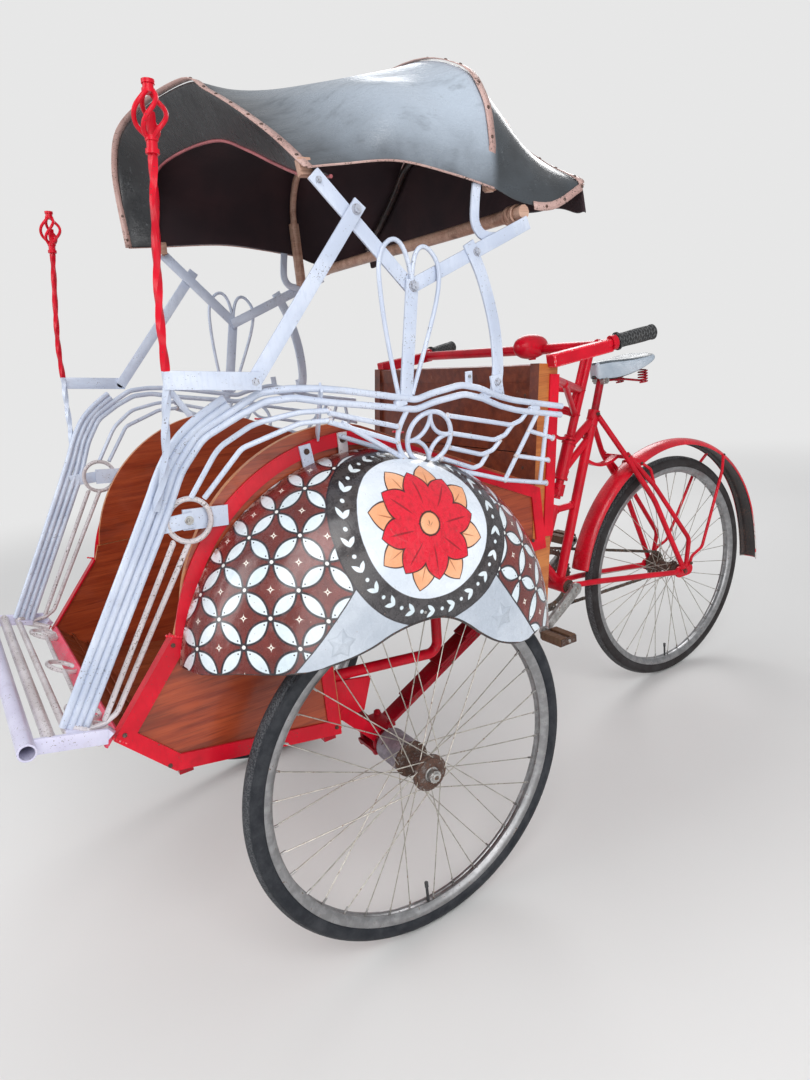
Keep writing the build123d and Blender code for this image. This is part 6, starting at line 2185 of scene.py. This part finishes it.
def makeCrank(values):
    bx, bz = values["bracket"]
    length, angle = values["crank"]
    reach = length * values["pedalShare"]
    centre = place(bx, 0, bz)
    bm, steel = bmesh.new(), bmesh.new()
    inner, outer, wall = values["ring"]
    chainY = values["chainY"]
    spun(steel, [(chainY - wall / 2, inner), (chainY - wall / 2, outer), (chainY + wall / 2, outer),
                 (chainY + wall / 2, inner)], centre, 88)
    spun(steel, [(chainY - 4, 8), (chainY - 4, 22), (chainY + 4, 22), (chainY + 4, 8)], centre, 32)
    middle = centre + Vector((0, chainY / 1000, 0))
    addRays(steel, middle, values["teeth"], outer - 1, outer + 4.2, 4.6, 2.4)
    addRays(steel, middle, 5, 16, inner + 4, 13, wall)
    piece("chainring_cut", steel, "crank_set", "chainSteel", (), 35)
    pins = [([place(bx, -64, bz), place(bx, 64, bz)], 16, None)]
    for s in (1, -1):
        turn = math.radians(angle + (0 if s > 0 else 180))
        dx, dz = math.cos(turn), math.sin(turn)
        outline = []
        for shift, radius, start in ((0, 17, 90), (reach, 12, -90)):
            for a in range(0, 181, 20):
                lean = turn + math.radians(start + a)
                outline.append(place(bx + shift * dx + radius * math.cos(lean), s * 62,
                                     bz + shift * dz + radius * math.sin(lean)))
        addPlate(bm, outline, 11, (0, s, 0))
        px, pz = bx + reach * dx, bz + reach * dz
        pins.append(([place(px, s * 62, pz), place(px, s * 168, pz)], 11, None))
        addBolt(bm, place(bx, s * 73, bz), (0, s, 0), 13, 5, 1.3)
        addBar(bm, place(bx - 20 * dz, s * 67, bz + 20 * dx), place(bx + 20 * dz, s * 67, bz - 20 * dx), 8, 8)
    softenEdges(bm, 1.0)
    piece("crank_arms", bm, "crank_set", "nutSteel", ["crank"], 35)
    rods("crank_pins", pins, "crank_set", "nutSteel", (), 4)
    bm, plates = bmesh.new(), bmesh.new()
    for s in (1, -1):
        turn = math.radians(angle + (0 if s > 0 else 180))
        px, pz = bx + reach * math.cos(turn), bz + reach * math.sin(turn)
        for offset in (-17.5, 17.5):
            for k in range(6):
                near, far = (place(px + offset, s * (88 + k * 12.6 + y), pz) for y in (0, 12.2))
                addBar(bm, near, far, 21, 24, (0, 0, 1))
            addBar(bm, place(px + offset, s * 88, pz), place(px + offset, s * 163.5, pz), 18, 21, (0, 0, 1))
        for y in (85, 165):
            addBar(plates, place(px - 27, s * y, pz), place(px + 27, s * y, pz), 19, 3)
        addCollar(plates, place(px, s * 86, pz), place(px, s * 164, pz), 5.6, 8)
    softenEdges(bm, 1.1, 1)
    piece("pedal_blocks", bm, "crank_set", "pedalRubber", ["pedals"], 35)
    piece("pedal_plates", plates, "crank_set", "rustSteel", (), 35)


def chainLine(values):
    # Middle line of the chain: two straight runs and two arcs
    (ax, az), (bx, bz) = values["bracket"], values["wheel"]
    large, small = values["rollers"]
    course = math.atan2(bz - az, bx - ax)
    lean = math.asin((large - small) / math.hypot(bx - ax, bz - az))
    upper, lower = course - math.pi / 2 + lean, course + math.pi / 2 - lean
    spots = []
    arcs = [(bx, bz, small, upper, lower), (ax, az, large, lower, upper + 2 * math.pi)]
    for cx, cz, radius, start, end in arcs:
        for i in range(37):
            turn = start + (end - start) * i / 36
            spots.append(Vector((cx + radius * math.cos(turn), cz + radius * math.sin(turn))))
    return spots + [spots[0]]


def makeChain(values):
    link = bmesh.new()
    half = values["pitch"] / 2
    corners = [math.radians(a) for a in (-90, -30, 30, 90)]
    outline = [(half + 4 * math.cos(a), 4 * math.sin(a)) for a in corners]
    outline += [(-x, -z) for x, z in outline]
    for y in (-3.9, 2.9):
        addPlate(link, [Vector((x, y, z)) / 1000 for x, z in outline], 1.0)
    turn = Matrix.Rotation(math.pi / 2, 4, "X")
    addPin(link, Matrix.Translation((half / 1000, 0, 0)) @ turn, 3.6, 6.2, 8)
    shape = meshOf("chainLink", link)
    spots = chainLine(values)
    lengths = [(b - a).length for a, b in zip(spots, spots[1:])]
    count = round(sum(lengths) / values["pitch"] / 2) * 2
    step, walked, at = sum(lengths) / count, 0.0, 0
    bm = bmesh.new()
    for i in range(count):
        while walked + lengths[at] < (i + 0.5) * step:
            walked += lengths[at]
            at += 1
        ahead = (spots[at + 1] - spots[at]) / lengths[at]
        spot = spots[at] + ahead * ((i + 0.5) * step - walked)
        first = len(bm.verts)
        bm.from_mesh(shape)
        bm.verts.ensure_lookup_table()
        along, up = Vector((ahead.x, 0, ahead.y)), Vector((-ahead.y, 0, ahead.x))
        turn = Matrix((along, Vector((0, 0.76 if i % 2 else 1, 0)), up)).transposed().to_4x4()
        turn.translation = place(spot.x, values["chainY"], spot.y)
        bmesh.ops.transform(bm, matrix=turn, verts=bm.verts[first:])
    piece("chain_links", bm, "cycle", "chainSteel", ["chain"], 30)


makeCrank(driveValues)
makeChain(driveValues)
print("drive is oiled")
